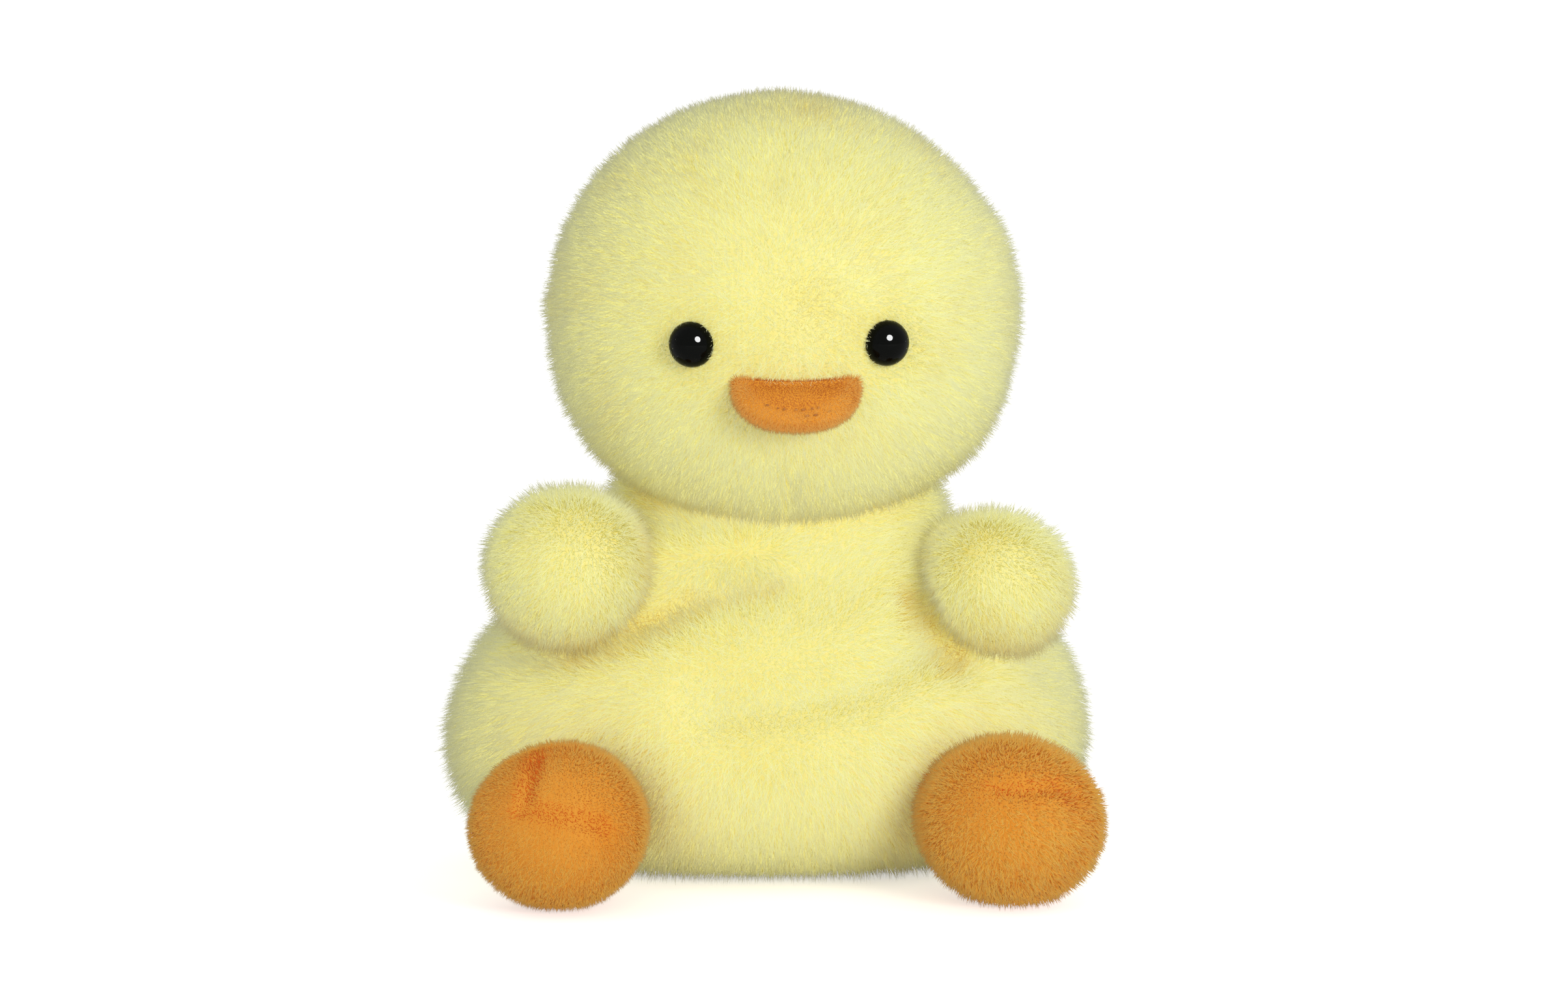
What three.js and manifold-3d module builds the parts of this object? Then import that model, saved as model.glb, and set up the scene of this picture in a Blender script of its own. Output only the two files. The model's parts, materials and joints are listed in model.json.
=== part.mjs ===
// A palm-sized plush chick, seated: pile-fabric panels sewn round their fillings.
// Millimetres, +Z up, on a table at z = 0. The chick faces -Y, and left and right are its own.
import * as THREE from "three";
import { mergeVertices } from "three/addons/utils/BufferGeometryUtils.js";
import Module from "manifold-3d";

const wasm = await Module();
wasm.setup();

// Fabrics and clearances
const plushThickness = 4; // yellow long-pile plush, backing and pile together
const velourThickness = 2; // orange short-pile plush of the feet
const beakFabric = 1.2; // the same orange plush, pulled thin over the beak
const pouchFabric = 0.8; // woven lining of the bean pouch
const seamGap = 0.3; // between two sewn edges
const fitGap = 0.3; // between a skin and what it holds, or what it sits in
const neckGap = 0.8; // between the head and the cupped neck it turns in
const limbGap = 0.8; // between a limb's root and the dimple it swings in
const flatCut = 0.5; // how far a round form is pressed flat by the table

// Body: a slack belly of beans that runs up into a narrower neck
const bellyHalfWidth = 52.4;
const bellyHalfDepth = 34;
const bellyHeight = 20; // the widest place, above the table
const frontRise = 33; // from there up to where the belly has run into the neck, in front
const sideRise = 36; // the same at the sides
const backRise = 46; // the same behind, where the back slopes up to the head
const bellyDrop = 26; // from there down to where the belly would close under the table
const bellyFullness = 2.2; // 2 is an ellipse, more is squarer
const neckHalfWidth = 28;
const neckFrontDepth = 18; // set back under the chin
const neckBackDepth = 23;
const neckBlend = 6; // how tightly the belly turns into the neck
const bodyBack = 10.77; // body axis, behind the origin
const seatSeamHeight = 5; // seam round the seat panel

// Head: a ball that sits in the cupped neck
const headHalfWidth = 37.2;
const headHalfDepth = 36;
const headCrown = 35; // centre to crown
const headChin = 36; // centre to underside
const neckSeatHeight = 55.5; // underside of the head, above the table
const headForward = 3; // head centre, ahead of the body axis
const headAside = 1.8; // head centre, to the left: the body leans that way as it rises
const headFullness = 2.2; // below the centre: 2 is an ellipse, more is squarer
const cupFullness = 2.25; // the neck cup is squarer still, so that the chin clears it in a nod
const headBackSeam = 9; // seam of the back panel, behind the head centre
const neckThreadRadius = 0.9;
const neckThreadInset = 2; // neck thread, inside the neck's own lining

// Beak: a small crowned pad, sewn to the face and tipped down
const beakHalfWidth = 10.8;
const beakReach = 9.8; // from the middle of the pad to its rim
const beakHalfThickness = 3;
const beakDrop = 8.2; // root of the beak, below the head centre
const beakSink = 1; // middle of the pad, inside the face
const beakTilt = 50; // degrees below level

// Eyes: domed buttons with a shank, each held by a washer inside the skin
const eyeRadius = 3.7;
const eyeDome = 3.4;
const eyeSink = 2; // rim of the button, below the tips of the pile
const eyeAzimuth = 26; // degrees either side of the beak
const eyeDrop = 2.4; // below the head centre
const shankRadius = 1.1;
const shankStub = 1.5; // shank past the washer
const washerRadius = 4.5;
const washerThickness = 1;
const shankClearance = 0.2;

// Wings: stubby stuffed limbs, sewn on at the shoulder
const wingLength = 12; // root centre to end centre
const wingRootRadius = 7.5;
const wingEndRadius = 12.8;
const shoulderDrop = 4; // centre of the sewn root, below the underside of the head
const shoulderAzimuth = 32; // degrees, from the side towards the front
const shoulderProud = 2.5; // centre of the sewn root, outside the body
const leftWingHeading = 60; // degrees, from the side towards the front
const leftWingDroop = 13; // degrees below level
const rightWingHeading = 60;
const rightWingDroop = -2; // held a little up

// Feet: stuffed balls, sewn on at the front of the belly
const footLength = 12; // root centre to end centre
const footRootRadius = 11;
const footEndRadius = 15;
const footHalfWidth = 15.6;
const footHalfHeight = 14;
const leftFootAzimuth = 54; // degrees, from the side towards the front
const rightFootAzimuth = 56;
const footProud = 4; // centre of the sewn root, outside the body
const footSplay = 22; // degrees outwards from straight ahead
const footSeamRise = 6; // seam across the toes, above the middle of the foot

// Bean pouch: a flat lining bag of pellets on the seat
const pouchHalfWidth = 36;
const pouchHalfDepth = 20;
const pouchHeight = 22;
const pouchFullness = 2.6;

// Facets
const bodySegments = 30;
const bodyRings = 14;
const headSegments = 28;
const headRings = 14;
const limbSegments = 14;
const limbArcSteps = 4;
const beakSegments = 18;
const beakRings = 8;
const coreShare = 0.56; // facets of an inner form, beside those of its outer skin
const buttonSegments = 12;
const threadSegments = 28;
const threadSides = 5;
const farAway = 400; // half the side of a cutting block
const overCut = 1; // how far a cutting form runs past an open end

const headHeight = neckSeatHeight + headChin;
const shoulderHeight = neckSeatHeight - shoulderDrop;
const headBack = bodyBack - headForward;
const bodyTop = headHeight - headChin / 2;
const degrees = THREE.MathUtils.degToRad;
const core = (count) => Math.round(count * coreShare);

const pileYellow = new THREE.MeshStandardMaterial({ color: 0xede68b, roughness: 0.95 });
const pileOrange = new THREE.MeshStandardMaterial({ color: 0xd98e29, roughness: 0.9 });
const blackPlastic = new THREE.MeshStandardMaterial({ color: 0x0d0d0c, roughness: 0.15 });
const whitePlastic = new THREE.MeshStandardMaterial({ color: 0xe8e8e2, roughness: 0.5 });
const fibrefill = new THREE.MeshStandardMaterial({ color: 0xf4f2ea, roughness: 1 });
const liningCotton = new THREE.MeshStandardMaterial({ color: 0xeae4d2, roughness: 0.95 });
const pelletPlastic = new THREE.MeshStandardMaterial({ color: 0xd8d6cc, roughness: 0.6 });
const yellowThread = new THREE.MeshStandardMaterial({ color: 0xe2d36a, roughness: 0.8 });

// Solids: a closed three.js geometry becomes a solid to join and cut, and turns back into a geometry
function solidOf(geometry) {
  const bare = geometry.clone();
  bare.deleteAttribute("normal");
  bare.deleteAttribute("uv");
  const merged = mergeVertices(bare, 1e-4);
  return new wasm.Manifold(
    new wasm.Mesh({
      numProp: 3,
      vertProperties: merged.attributes.position.array,
      triVerts: new Uint32Array(merged.index.array),
    }),
  );
}

function geometryOf(solid) {
  const mesh = solid.getMesh();
  const geometry = new THREE.BufferGeometry();
  geometry.setAttribute("position", new THREE.BufferAttribute(mesh.vertProperties, 3));
  geometry.setIndex(new THREE.BufferAttribute(mesh.triVerts, 1));
  geometry.computeVertexNormals();
  return geometry;
}

function piece(name, solid, material) {
  const mesh = new THREE.Mesh(geometryOf(solid), material);
  mesh.name = name;
  return mesh;
}

// A block between two heights along one axis, which parts a form along a seam
function slab(axis, from, to) {
  const low = new THREE.Vector3(-farAway, -farAway, -farAway);
  const high = new THREE.Vector3(farAway, farAway, farAway);
  low[axis] = Math.max(from, -farAway);
  high[axis] = Math.min(to, farAway);
  const size = high.clone().sub(low);
  const block = new THREE.BoxGeometry(size.x, size.y, size.z);
  const middle = low.add(high).multiplyScalar(0.5);
  return solidOf(block.translate(middle.x, middle.y, middle.z));
}

const below = (axis, seam) => slab(axis, -Infinity, seam - seamGap / 2);
const above = (axis, seam) => slab(axis, seam + seamGap / 2, Infinity);

function ball(radius, centre) {
  const sphere = new THREE.SphereGeometry(radius, limbSegments, limbSegments / 2);
  return solidOf(sphere.translate(centre.x, centre.y, centre.z));
}

// A profile of [radius, height] pairs, turned about the Z axis
function revolve(profile, segments) {
  const points = profile.map(([radius, height]) => new THREE.Vector2(radius, height));
  return new THREE.LatheGeometry(points, segments).rotateX(Math.PI / 2);
}

function moveVertices(geometry, move) {
  const place = geometry.attributes.position;
  const point = new THREE.Vector3();
  for (let i = 0; i < place.count; i += 1) {
    move(point.fromBufferAttribute(place, i));
    place.setXYZ(i, point.x, point.y, point.z);
  }
  return geometry;
}

// Body form: the share of the belly's girth that is left at a height, and the girth with the neck in it
function bellyShare(z, rise) {
  const reach = z < bellyHeight ? bellyDrop : rise;
  const share = Math.min(Math.abs(z - bellyHeight) / reach, 1);
  return (1 - share ** bellyFullness) ** (1 / bellyFullness);
}

function girth(z, bellyHalf, neckHalf, rise) {
  return ((bellyHalf * bellyShare(z, rise)) ** neckBlend + neckHalf ** neckBlend) ** (1 / neckBlend);
}

const bodyHalfWidth = (z) => girth(z, bellyHalfWidth, neckHalfWidth, sideRise);
const bodyFrontDepth = (z) => girth(z, bellyHalfDepth, neckFrontDepth, frontRise);
const bodyBackDepth = (z) => girth(z, bellyHalfDepth, neckBackDepth, backRise);
const bodyLean = (z) => headAside * THREE.MathUtils.smoothstep(z, bellyHeight, neckSeatHeight);

// Rings lie at the same heights whatever the inset, so that one form nests in another
function bodyForm(inset, segments, rings, overTop) {
  const heights = [inset];
  for (let i = 1; i <= rings; i += 1) {
    heights.push((bodyTop * i) / rings);
  }
  const profile = heights.filter((z) => z >= inset).map((z) => [bodyHalfWidth(z) - inset, z]);
  const top = bodyTop + overTop;
  profile[profile.length - 1][1] = top;
  const closed = [[0, inset], ...profile, [0, top]];
  const form = moveVertices(revolve(closed, segments), (point) => {
    const depth = point.y < 0 ? bodyFrontDepth(point.z) : bodyBackDepth(point.z);
    point.y *= (depth - inset) / (bodyHalfWidth(point.z) - inset);
    point.y += bodyBack;
    point.x += bodyLean(point.z);
  });
  return solidOf(form);
}

// Where a limb is sewn on: just off the body at a height, at an angle from the side towards the front
function offBody(side, z, azimuth, proud) {
  const angle = degrees(azimuth);
  const x = bodyLean(z) + side * (bodyHalfWidth(z) + proud) * Math.cos(angle);
  return new THREE.Vector3(x, bodyBack - (bodyFrontDepth(z) + proud) * Math.sin(angle), z);
}

const shoulder = (side) => offBody(side, shoulderHeight, shoulderAzimuth, shoulderProud);
const hip = ({ sign, footAzimuth }) => offBody(sign, footStand, footAzimuth, footProud);

// Squares the lower half of a unit ball, for cheeks that stay full down to the chin
function fillCheeks(point, fullness) {
  const level = Math.hypot(point.x, point.y);
  if (point.z >= 0 || level === 0) {
    return;
  }
  const spread = level ** (2 / fullness - 1);
  point.x *= spread;
  point.y *= spread;
  point.z = -(Math.abs(point.z) ** (2 / fullness));
}

// The share of the head's girth that is left at a drop below its centre
const faceShare = (drop) => (1 - (drop / headChin) ** headFullness) ** (1 / headFullness);

// Head form, about the head centre
function headForm(inset, segments, rings) {
  const ballForm = new THREE.SphereGeometry(1, segments, rings).rotateX(Math.PI / 2);
  return moveVertices(ballForm, (point) => {
    fillCheeks(point, headFullness);
    point.x *= headHalfWidth - inset;
    point.y *= headHalfDepth - inset;
    point.z *= (point.z > 0 ? headCrown : headChin) - inset;
  });
}

const cupHalfDepth = Math.max(headHalfDepth, headChin) + neckGap;

// Cup that lets the head nod: the form that its underside sweeps about the nod axis
function neckCup() {
  const ballForm = new THREE.SphereGeometry(1, headSegments, headRings).rotateX(Math.PI / 2);
  const cup = moveVertices(ballForm, (point) => fillCheeks(point, cupFullness));
  cup.scale(headHalfWidth + neckGap, cupHalfDepth, cupHalfDepth);
  return solidOf(cup.translate(headAside, headBack, headHeight));
}

// Limb form along +X from its root: two balls and the skin drawn tight between them
function limbForm(limb, inset) {
  const root = limb.rootRadius - inset;
  const end = limb.endRadius - inset;
  const lean = Math.asin((end - root) / limb.length);
  const turn = Math.PI / 2 + lean;
  const profile = [];
  for (let i = 0; i <= limbArcSteps; i += 1) {
    const angle = Math.PI + ((turn - Math.PI) * i) / limbArcSteps;
    profile.push([root * Math.sin(angle), root * Math.cos(angle)]);
  }
  for (let i = 0; i <= limbArcSteps; i += 1) {
    const angle = turn * (1 - i / limbArcSteps);
    profile.push([end * Math.sin(angle), limb.length + end * Math.cos(angle)]);
  }
  profile[0][0] = 0;
  profile[profile.length - 1][0] = 0;
  const form = revolve(profile, limbSegments).rotateY(Math.PI / 2);
  return moveVertices(form, (point) => {
    const share = THREE.MathUtils.smoothstep(point.x, 0, limb.length);
    point.y *= 1 + share * ((limb.halfWidth - inset) / end - 1);
    point.z *= 1 + share * ((limb.halfHeight - inset) / end - 1);
  });
}

// Shoulders, hips and the sockets that the limbs' roots sit in
const sides = [
  {
    name: "left",
    sign: 1,
    wingHeading: -leftWingHeading,
    wingDroop: leftWingDroop,
    footAzimuth: leftFootAzimuth,
  },
  {
    name: "right",
    sign: -1,
    wingHeading: 180 + rightWingHeading,
    wingDroop: rightWingDroop,
    footAzimuth: rightFootAzimuth,
  },
];
const footStand = footHalfHeight - flatCut;
const sockets = sides.flatMap((side) => [
  ball(wingRootRadius + limbGap, shoulder(side.sign)),
  ball(footRootRadius + limbGap, hip(side)),
]);

// Body: three panels round a filling, with the bean pouch on the seat
function pouchForm(inset, floor) {
  const half = pouchHeight / 2;
  const middle = plushThickness + fitGap + half;
  const steps = core(headRings);
  const profile = [];
  for (let i = 0; i <= steps; i += 1) {
    const angle = -Math.PI / 2 + (Math.PI * i) / steps;
    const radius = Math.max(Math.cos(angle), 0) ** (2 / pouchFullness);
    const rise = Math.sign(angle) * Math.abs(Math.sin(angle)) ** (2 / pouchFullness);
    profile.push([radius, rise]);
  }
  profile[0][0] = 0;
  profile[steps][0] = 0;
  const form = revolve(profile, core(bodySegments));
  form.scale(pouchHalfWidth - inset, pouchHalfDepth - inset, half - inset);
  return solidOf(form.translate(0, bodyBack, middle)).subtract(slab("z", -Infinity, floor));
}

function makeBody() {
  const body = new THREE.Group();
  const cup = neckCup();
  const cutters = [cup, ...sockets];
  const lining = bodyForm(plushThickness, core(bodySegments), core(bodyRings), overCut);
  const skin = bodyForm(0, bodySegments, bodyRings, 0).subtract(lining);
  const cover = cutters.reduce((left, cutter) => left.subtract(cutter), skin);
  const sewn = cover.intersect(above("z", seatSeamHeight));
  body.add(piece("body_front_panel", sewn.intersect(below("y", bodyBack)), pileYellow));
  body.add(piece("body_back_panel", sewn.intersect(above("y", bodyBack)), pileYellow));
  body.add(piece("body_seat_panel", cover.intersect(below("z", seatSeamHeight)), pileYellow));

  const pouchFloor = plushThickness + fitGap;
  const pouch = pouchForm(0, pouchFloor);
  const pouchHollow = pouchForm(pouchFabric, pouchFloor + pouchFabric);
  const pouchSkin = pouch.subtract(pouchHollow);
  const pouchSeam = pouchFloor + pouchHeight / 2;
  body.add(piece("bean_pouch_upper", pouchSkin.intersect(above("z", pouchSeam)), liningCotton));
  body.add(piece("bean_pouch_lower", pouchSkin.intersect(below("z", pouchSeam)), liningCotton));
  const beanInset = pouchFabric + fitGap;
  const beans = pouchForm(beanInset, pouchFloor + beanInset);
  body.add(piece("bean_filling", beans, pelletPlastic));

  const fillInset = plushThickness + fitGap;
  const fill = bodyForm(fillInset, core(bodySegments), core(bodyRings), 0);
  const pouchBed = pouchForm(-fitGap, -farAway);
  const beds = [...cutters, pouchBed, neckTrough()];
  const bed = beds.reduce((left, cutter) => left.subtract(cutter), fill);
  body.add(piece("body_stuffing", bed, fibrefill));
  return body;
}

// Neck: the ring of thread that gathers the head's underside to the body, in a trough of the filling
const neckRingRadius = neckFrontDepth - plushThickness - headForward - neckThreadInset;
const cupShare = (1 - (neckRingRadius / cupHalfDepth) ** cupFullness) ** (1 / cupFullness);
const cupHeight = headHeight - cupHalfDepth * cupShare;
const neckThreadHeight = cupHeight - neckThreadRadius;

function neckThread() {
  const ring = new THREE.TorusGeometry(neckRingRadius, neckThreadRadius, threadSides, threadSegments);
  return solidOf(ring.translate(headAside, headBack, neckThreadHeight));
}

function neckTrough() {
  const reach = neckThreadRadius + fitGap;
  const [inside, outside] = [neckRingRadius - reach, neckRingRadius + reach];
  const floor = neckThreadHeight - reach;
  const profile = [
    [inside, floor],
    [outside, floor],
    [outside, headHeight],
    [inside, headHeight],
    [inside, floor],
  ];
  return solidOf(revolve(profile, threadSegments).translate(headAside, headBack, 0));
}

// Head: three panels round a filling, two eyes and a beak, about the head centre
const eyeSpots = sides.map(({ name, sign }) => {
  const angle = degrees(eyeAzimuth);
  const level = faceShare(eyeDrop);
  const spot = new THREE.Vector3(
    sign * headHalfWidth * level * Math.sin(angle),
    -headHalfDepth * level * Math.cos(angle),
    -eyeDrop,
  );
  const outward = new THREE.Vector3(
    spot.x / headHalfWidth ** 2,
    spot.y / headHalfDepth ** 2,
    spot.z / headCrown ** 2,
  ).normalize();
  const turn = new THREE.Quaternion().setFromUnitVectors(new THREE.Vector3(0, 0, 1), outward);
  return { name, spot, turn };
});
// Depths below the pile's tips, along an eye's own axis
const washerTop = plushThickness + fitGap;
const shankEnd = washerTop + washerThickness + shankStub;

function buttonForm(radius, dome, rim, shank, end) {
  const steps = 6;
  const profile = [[0, -end], [shank, -end], [shank, -rim]];
  for (let i = 0; i <= steps; i += 1) {
    const angle = (Math.PI / 2) * (i / steps);
    profile.push([radius * Math.cos(angle), dome * Math.sin(angle) - rim]);
  }
  profile[profile.length - 1][0] = 0;
  return revolve(profile, buttonSegments);
}

function washerForm() {
  const hole = shankRadius + shankClearance;
  const bottom = -washerTop - washerThickness;
  const profile = [
    [hole, bottom],
    [washerRadius, bottom],
    [washerRadius, -washerTop],
    [hole, -washerTop],
    [hole, bottom],
  ];
  return revolve(profile, buttonSegments);
}

function rod(radius, from, to) {
  return revolve([[0, from], [radius, from], [radius, to], [0, to]], buttonSegments);
}

const atEye = (geometry, { spot, turn }) =>
  solidOf(geometry.applyQuaternion(turn).translate(spot.x, spot.y, spot.z));

function placedAtEye(name, geometry, material, { spot, turn }) {
  const mesh = new THREE.Mesh(geometry, material);
  mesh.name = name;
  mesh.position.copy(spot);
  mesh.quaternion.copy(turn);
  return mesh;
}

function makeHead() {
  const head = new THREE.Group();
  head.position.set(headAside, headBack, headHeight);
  const lining = solidOf(headForm(plushThickness, core(headSegments), core(headRings)));
  let skin = solidOf(headForm(0, headSegments, headRings)).subtract(lining);
  let fill = solidOf(headForm(plushThickness + fitGap, core(headSegments), core(headRings)));
  for (const eye of eyeSpots) {
    const seat = rod(eyeRadius + fitGap, -eyeSink - fitGap, farAway / 10);
    const hole = rod(shankRadius + shankClearance, -shankEnd - fitGap, farAway / 10);
    const pocketEnd = -washerTop - washerThickness - fitGap;
    const pocket = rod(washerRadius + fitGap, pocketEnd, farAway / 10);
    const bed = rod(washerRadius + fitGap, pocketEnd, -plushThickness);
    skin = [seat, hole.clone(), bed].reduce((left, cut) => left.subtract(atEye(cut, eye)), skin);
    fill = fill.subtract(atEye(pocket, eye)).subtract(atEye(hole, eye));
    const button = buttonForm(eyeRadius, eyeDome, eyeSink, shankRadius, shankEnd);
    head.add(placedAtEye(`${eye.name}_eye`, button, blackPlastic, eye));
    head.add(placedAtEye(`${eye.name}_eye_washer`, washerForm(), whitePlastic, eye));
  }
  const face = skin.intersect(below("y", headBackSeam));
  head.add(piece("head_left_panel", face.intersect(above("x", 0)), pileYellow));
  head.add(piece("head_right_panel", face.intersect(below("x", 0)), pileYellow));
  head.add(piece("head_back_panel", skin.intersect(above("y", headBackSeam)), pileYellow));
  head.add(piece("head_stuffing", fill, fibrefill));
  head.add(makeBeak());
  return head;
}

// Beak: two panels round a small filling, in the beak's own frame with -Y along its reach
function padForm(inset) {
  const pad = new THREE.SphereGeometry(1, beakSegments, beakRings).rotateX(Math.PI / 2);
  return pad.scale(beakHalfWidth - inset, beakReach - inset, beakHalfThickness - inset);
}

function makeBeak() {
  const beak = new THREE.Group();
  beak.position.set(0, beakSink - headHalfDepth * faceShare(beakDrop), -beakDrop);
  beak.rotation.x = degrees(beakTilt);
  beak.updateMatrix();
  const faceForm = headForm(-fitGap, headSegments, headRings);
  const face = solidOf(faceForm.applyMatrix4(beak.matrix.clone().invert()));
  const skin = solidOf(padForm(0)).subtract(solidOf(padForm(beakFabric))).subtract(face);
  const fill = solidOf(padForm(beakFabric + fitGap)).subtract(face);
  beak.add(piece("beak_upper_panel", skin.intersect(above("z", 0)), pileOrange));
  beak.add(piece("beak_lower_panel", skin.intersect(below("z", 0)), pileOrange));
  beak.add(piece("beak_stuffing", fill, fibrefill));
  return beak;
}

// Limbs: two panels round a filling, along +X from the root
const wingShape = {
  rootRadius: wingRootRadius,
  endRadius: wingEndRadius,
  length: wingLength,
  halfWidth: wingEndRadius,
  halfHeight: wingEndRadius,
};
const footShape = {
  rootRadius: footRootRadius,
  endRadius: footEndRadius,
  length: footLength,
  halfWidth: footHalfWidth,
  halfHeight: footHalfHeight,
};

// A wing that rests on the belly is pressed in there, all but its root
function restedOnBody(form, limbGroup, rootRadius, gap) {
  limbGroup.updateMatrix();
  const body = bodyForm(-gap, bodySegments, bodyRings, 0);
  const rest = geometryOf(body.subtract(ball(rootRadius + fitGap, limbGroup.position)));
  return form.subtract(solidOf(rest.applyMatrix4(limbGroup.matrix.clone().invert())));
}

function makeWing({ name, sign, wingHeading, wingDroop }) {
  const wing = new THREE.Group();
  wing.position.copy(shoulder(sign));
  wing.rotation.set(0, degrees(wingDroop), degrees(wingHeading), "ZYX");
  const pressed = (inset) =>
    restedOnBody(solidOf(limbForm(wingShape, inset)), wing, wingRootRadius - inset, inset + fitGap);
  const skin = pressed(0).subtract(pressed(plushThickness));
  const [front, back] = sign > 0 ? [below, above] : [above, below];
  wing.add(piece(`${name}_wing_front_panel`, skin.intersect(front("y", 0)), pileYellow));
  wing.add(piece(`${name}_wing_back_panel`, skin.intersect(back("y", 0)), pileYellow));
  wing.add(piece(`${name}_wing_stuffing`, pressed(plushThickness + fitGap), fibrefill));
  return wing;
}

function makeFoot(side) {
  const { name, sign } = side;
  const foot = new THREE.Group();
  foot.position.copy(hip(side));
  foot.rotation.z = degrees(-90 + sign * footSplay);
  const form = solidOf(limbForm(footShape, 0)).intersect(slab("z", -footStand, Infinity));
  const skin = form.subtract(solidOf(limbForm(footShape, velourThickness)));
  foot.add(piece(`${name}_foot_upper_panel`, skin.intersect(above("z", footSeamRise)), pileOrange));
  foot.add(piece(`${name}_foot_sole_panel`, skin.intersect(below("z", footSeamRise)), pileOrange));
  const fill = solidOf(limbForm(footShape, velourThickness + fitGap));
  foot.add(piece(`${name}_foot_stuffing`, fill, fibrefill));
  return foot;
}

const chick = new THREE.Group();
chick.add(makeBody());
chick.add(piece("neck_thread", neckThread(), yellowThread));
chick.add(makeHead());
for (const side of sides) {
  chick.add(makeWing(side));
  chick.add(makeFoot(side));
}

export default chick;
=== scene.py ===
import json
import math
import random

import bmesh
import bpy
from mathutils import Matrix, Vector
from mathutils.bvhtree import BVHTree


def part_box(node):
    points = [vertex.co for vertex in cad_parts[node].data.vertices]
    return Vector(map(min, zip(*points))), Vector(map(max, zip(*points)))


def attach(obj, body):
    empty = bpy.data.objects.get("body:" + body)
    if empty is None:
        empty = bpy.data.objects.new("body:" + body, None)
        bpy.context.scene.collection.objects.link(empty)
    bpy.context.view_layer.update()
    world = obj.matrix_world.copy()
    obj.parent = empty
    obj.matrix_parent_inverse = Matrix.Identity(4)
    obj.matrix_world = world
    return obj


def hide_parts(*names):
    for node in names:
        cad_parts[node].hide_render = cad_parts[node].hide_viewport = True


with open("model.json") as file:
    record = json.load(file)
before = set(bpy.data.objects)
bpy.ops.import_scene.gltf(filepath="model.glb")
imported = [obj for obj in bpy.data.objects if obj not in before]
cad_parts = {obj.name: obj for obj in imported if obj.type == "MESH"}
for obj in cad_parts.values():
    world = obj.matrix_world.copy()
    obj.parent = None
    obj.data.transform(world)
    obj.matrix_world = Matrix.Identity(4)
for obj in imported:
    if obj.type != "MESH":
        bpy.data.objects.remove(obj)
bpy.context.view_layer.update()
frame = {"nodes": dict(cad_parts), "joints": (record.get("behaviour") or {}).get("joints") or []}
nodes = frame["nodes"]
joints = {joint["name"]: joint for joint in frame["joints"]}
scene = bpy.context.scene
mm = 0.001
sides = ("left", "right")
headCentre = Vector(joints["head_turn"]["pos_m"])
print("frame loaded:", len(nodes), "nodes")


def linear(hexColour):                                   # sRGB hex to linear RGBA
    parts = [int(hexColour[i:i + 2], 16) / 255 for i in (1, 3, 5)]
    return [c / 12.92 if c <= 0.04045 else ((c + 0.055) / 1.055) ** 2.4 for c in parts] + [1.0]


def addNode(tree, kind, settings=None, links=None):      # one node with its settings and its links
    node = tree.nodes.new(kind)

    def socket(key):                                     # by number, or by name among those switched on
        if isinstance(key, int):
            return node.inputs[key]
        return next(s for s in node.inputs if s.name == key and s.enabled)

    for key, value in (settings or {}).items():
        if key == "stops":                               # a colour ramp's places and their colours
            stops = node.color_ramp.elements
            while len(stops) < len(value):
                stops.new(0.5)
            for stop, (at, colour) in zip(stops, value.items()):
                stop.position, stop.color = at, linear(colour)
        elif isinstance(key, str) and hasattr(node, key) and key not in node.inputs:
            setattr(node, key, value)
        else:
            socket(key).default_value = value
    for key, source in (links or {}).items():
        tree.links.new(source, socket(key))
    return node


def made(node):                                          # the output that a node's mode leaves switched on
    return next(s for s in node.outputs if s.enabled)


def newMaterial(name):
    material = bpy.data.materials.new(name)
    material.use_nodes = True
    tree = material.node_tree
    return material, tree, tree.nodes["Principled BSDF"]


def setShader(tree, shader, values, links):              # plain values, and the nodes that feed other inputs
    for key, value in values.items():
        shader.inputs[key].default_value = value
    for key, node in links.items():
        tree.links.new(made(node), shader.inputs[key])


# Materials

fibreIor = 1.53                                          # polyester and cotton alike
bandSpacing = math.tau / 20                              # of a wave texture at a scale of 1
diagonalSpacing = math.tau / (10 * math.sqrt(3))         # the same, where its bands lie across the diagonal
pileFinish = {"middleAt": 0.45, "deepFrom": 0.7, "specular": 0.25, "sheenRoughness": 0.5,
              "sheenTint": "#fdfbe2"}


def pileMaterial(name, tints, roughness, sheen):    # the map's u is a fibre's tone, its v runs root to tip
    material, tree, shader = newMaterial(name)
    place = addNode(tree, "ShaderNodeUVMap", {"uv_map": "OFBake"})
    split = addNode(tree, "ShaderNodeSeparateXYZ", None, {"Vector": made(place)})
    tone, along = split.outputs["X"], split.outputs["Y"]
    plain = addNode(tree, "ShaderNodeValToRGB", {
        "stops": {0.0: tints["root"], pileFinish["middleAt"]: tints["middle"], 1.0: tints["tip"]}},
        {"Fac": along})
    # the second ramp takes over where the tone runs high: painted golden shade where forms meet, under parts
    # and in folds, elsewhere a second tone of the fibre
    other = addNode(tree, "ShaderNodeValToRGB", {
        "stops": {0.0: tints["shadeAndToneRoot"], 1.0: tints["shadeAndToneTip"]}}, {"Fac": along})
    mix = addNode(tree, "ShaderNodeMix", {"data_type": "RGBA"},
                  {"Factor": tone, "A": made(plain), "B": made(other)})
    # the deep colour, where the tone runs highest: the darkest painted shade in the deepest folds, and the
    # beak's own redder face
    fold = addNode(tree, "ShaderNodeMapRange", {"From Min": pileFinish["deepFrom"], "From Max": 1.0},
                   {"Value": tone})
    mix = addNode(tree, "ShaderNodeMix", {"data_type": "RGBA", "B": linear(tints["deep"])},
                  {"Factor": made(fold), "A": made(mix)})
    setShader(tree, shader, {
        "Roughness": roughness, "IOR": fibreIor, "Specular IOR Level": pileFinish["specular"],
        "Sheen Weight": sheen, "Sheen Roughness": pileFinish["sheenRoughness"],
        "Sheen Tint": linear(pileFinish["sheenTint"])}, {"Base Color": mix})
    return material
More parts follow.
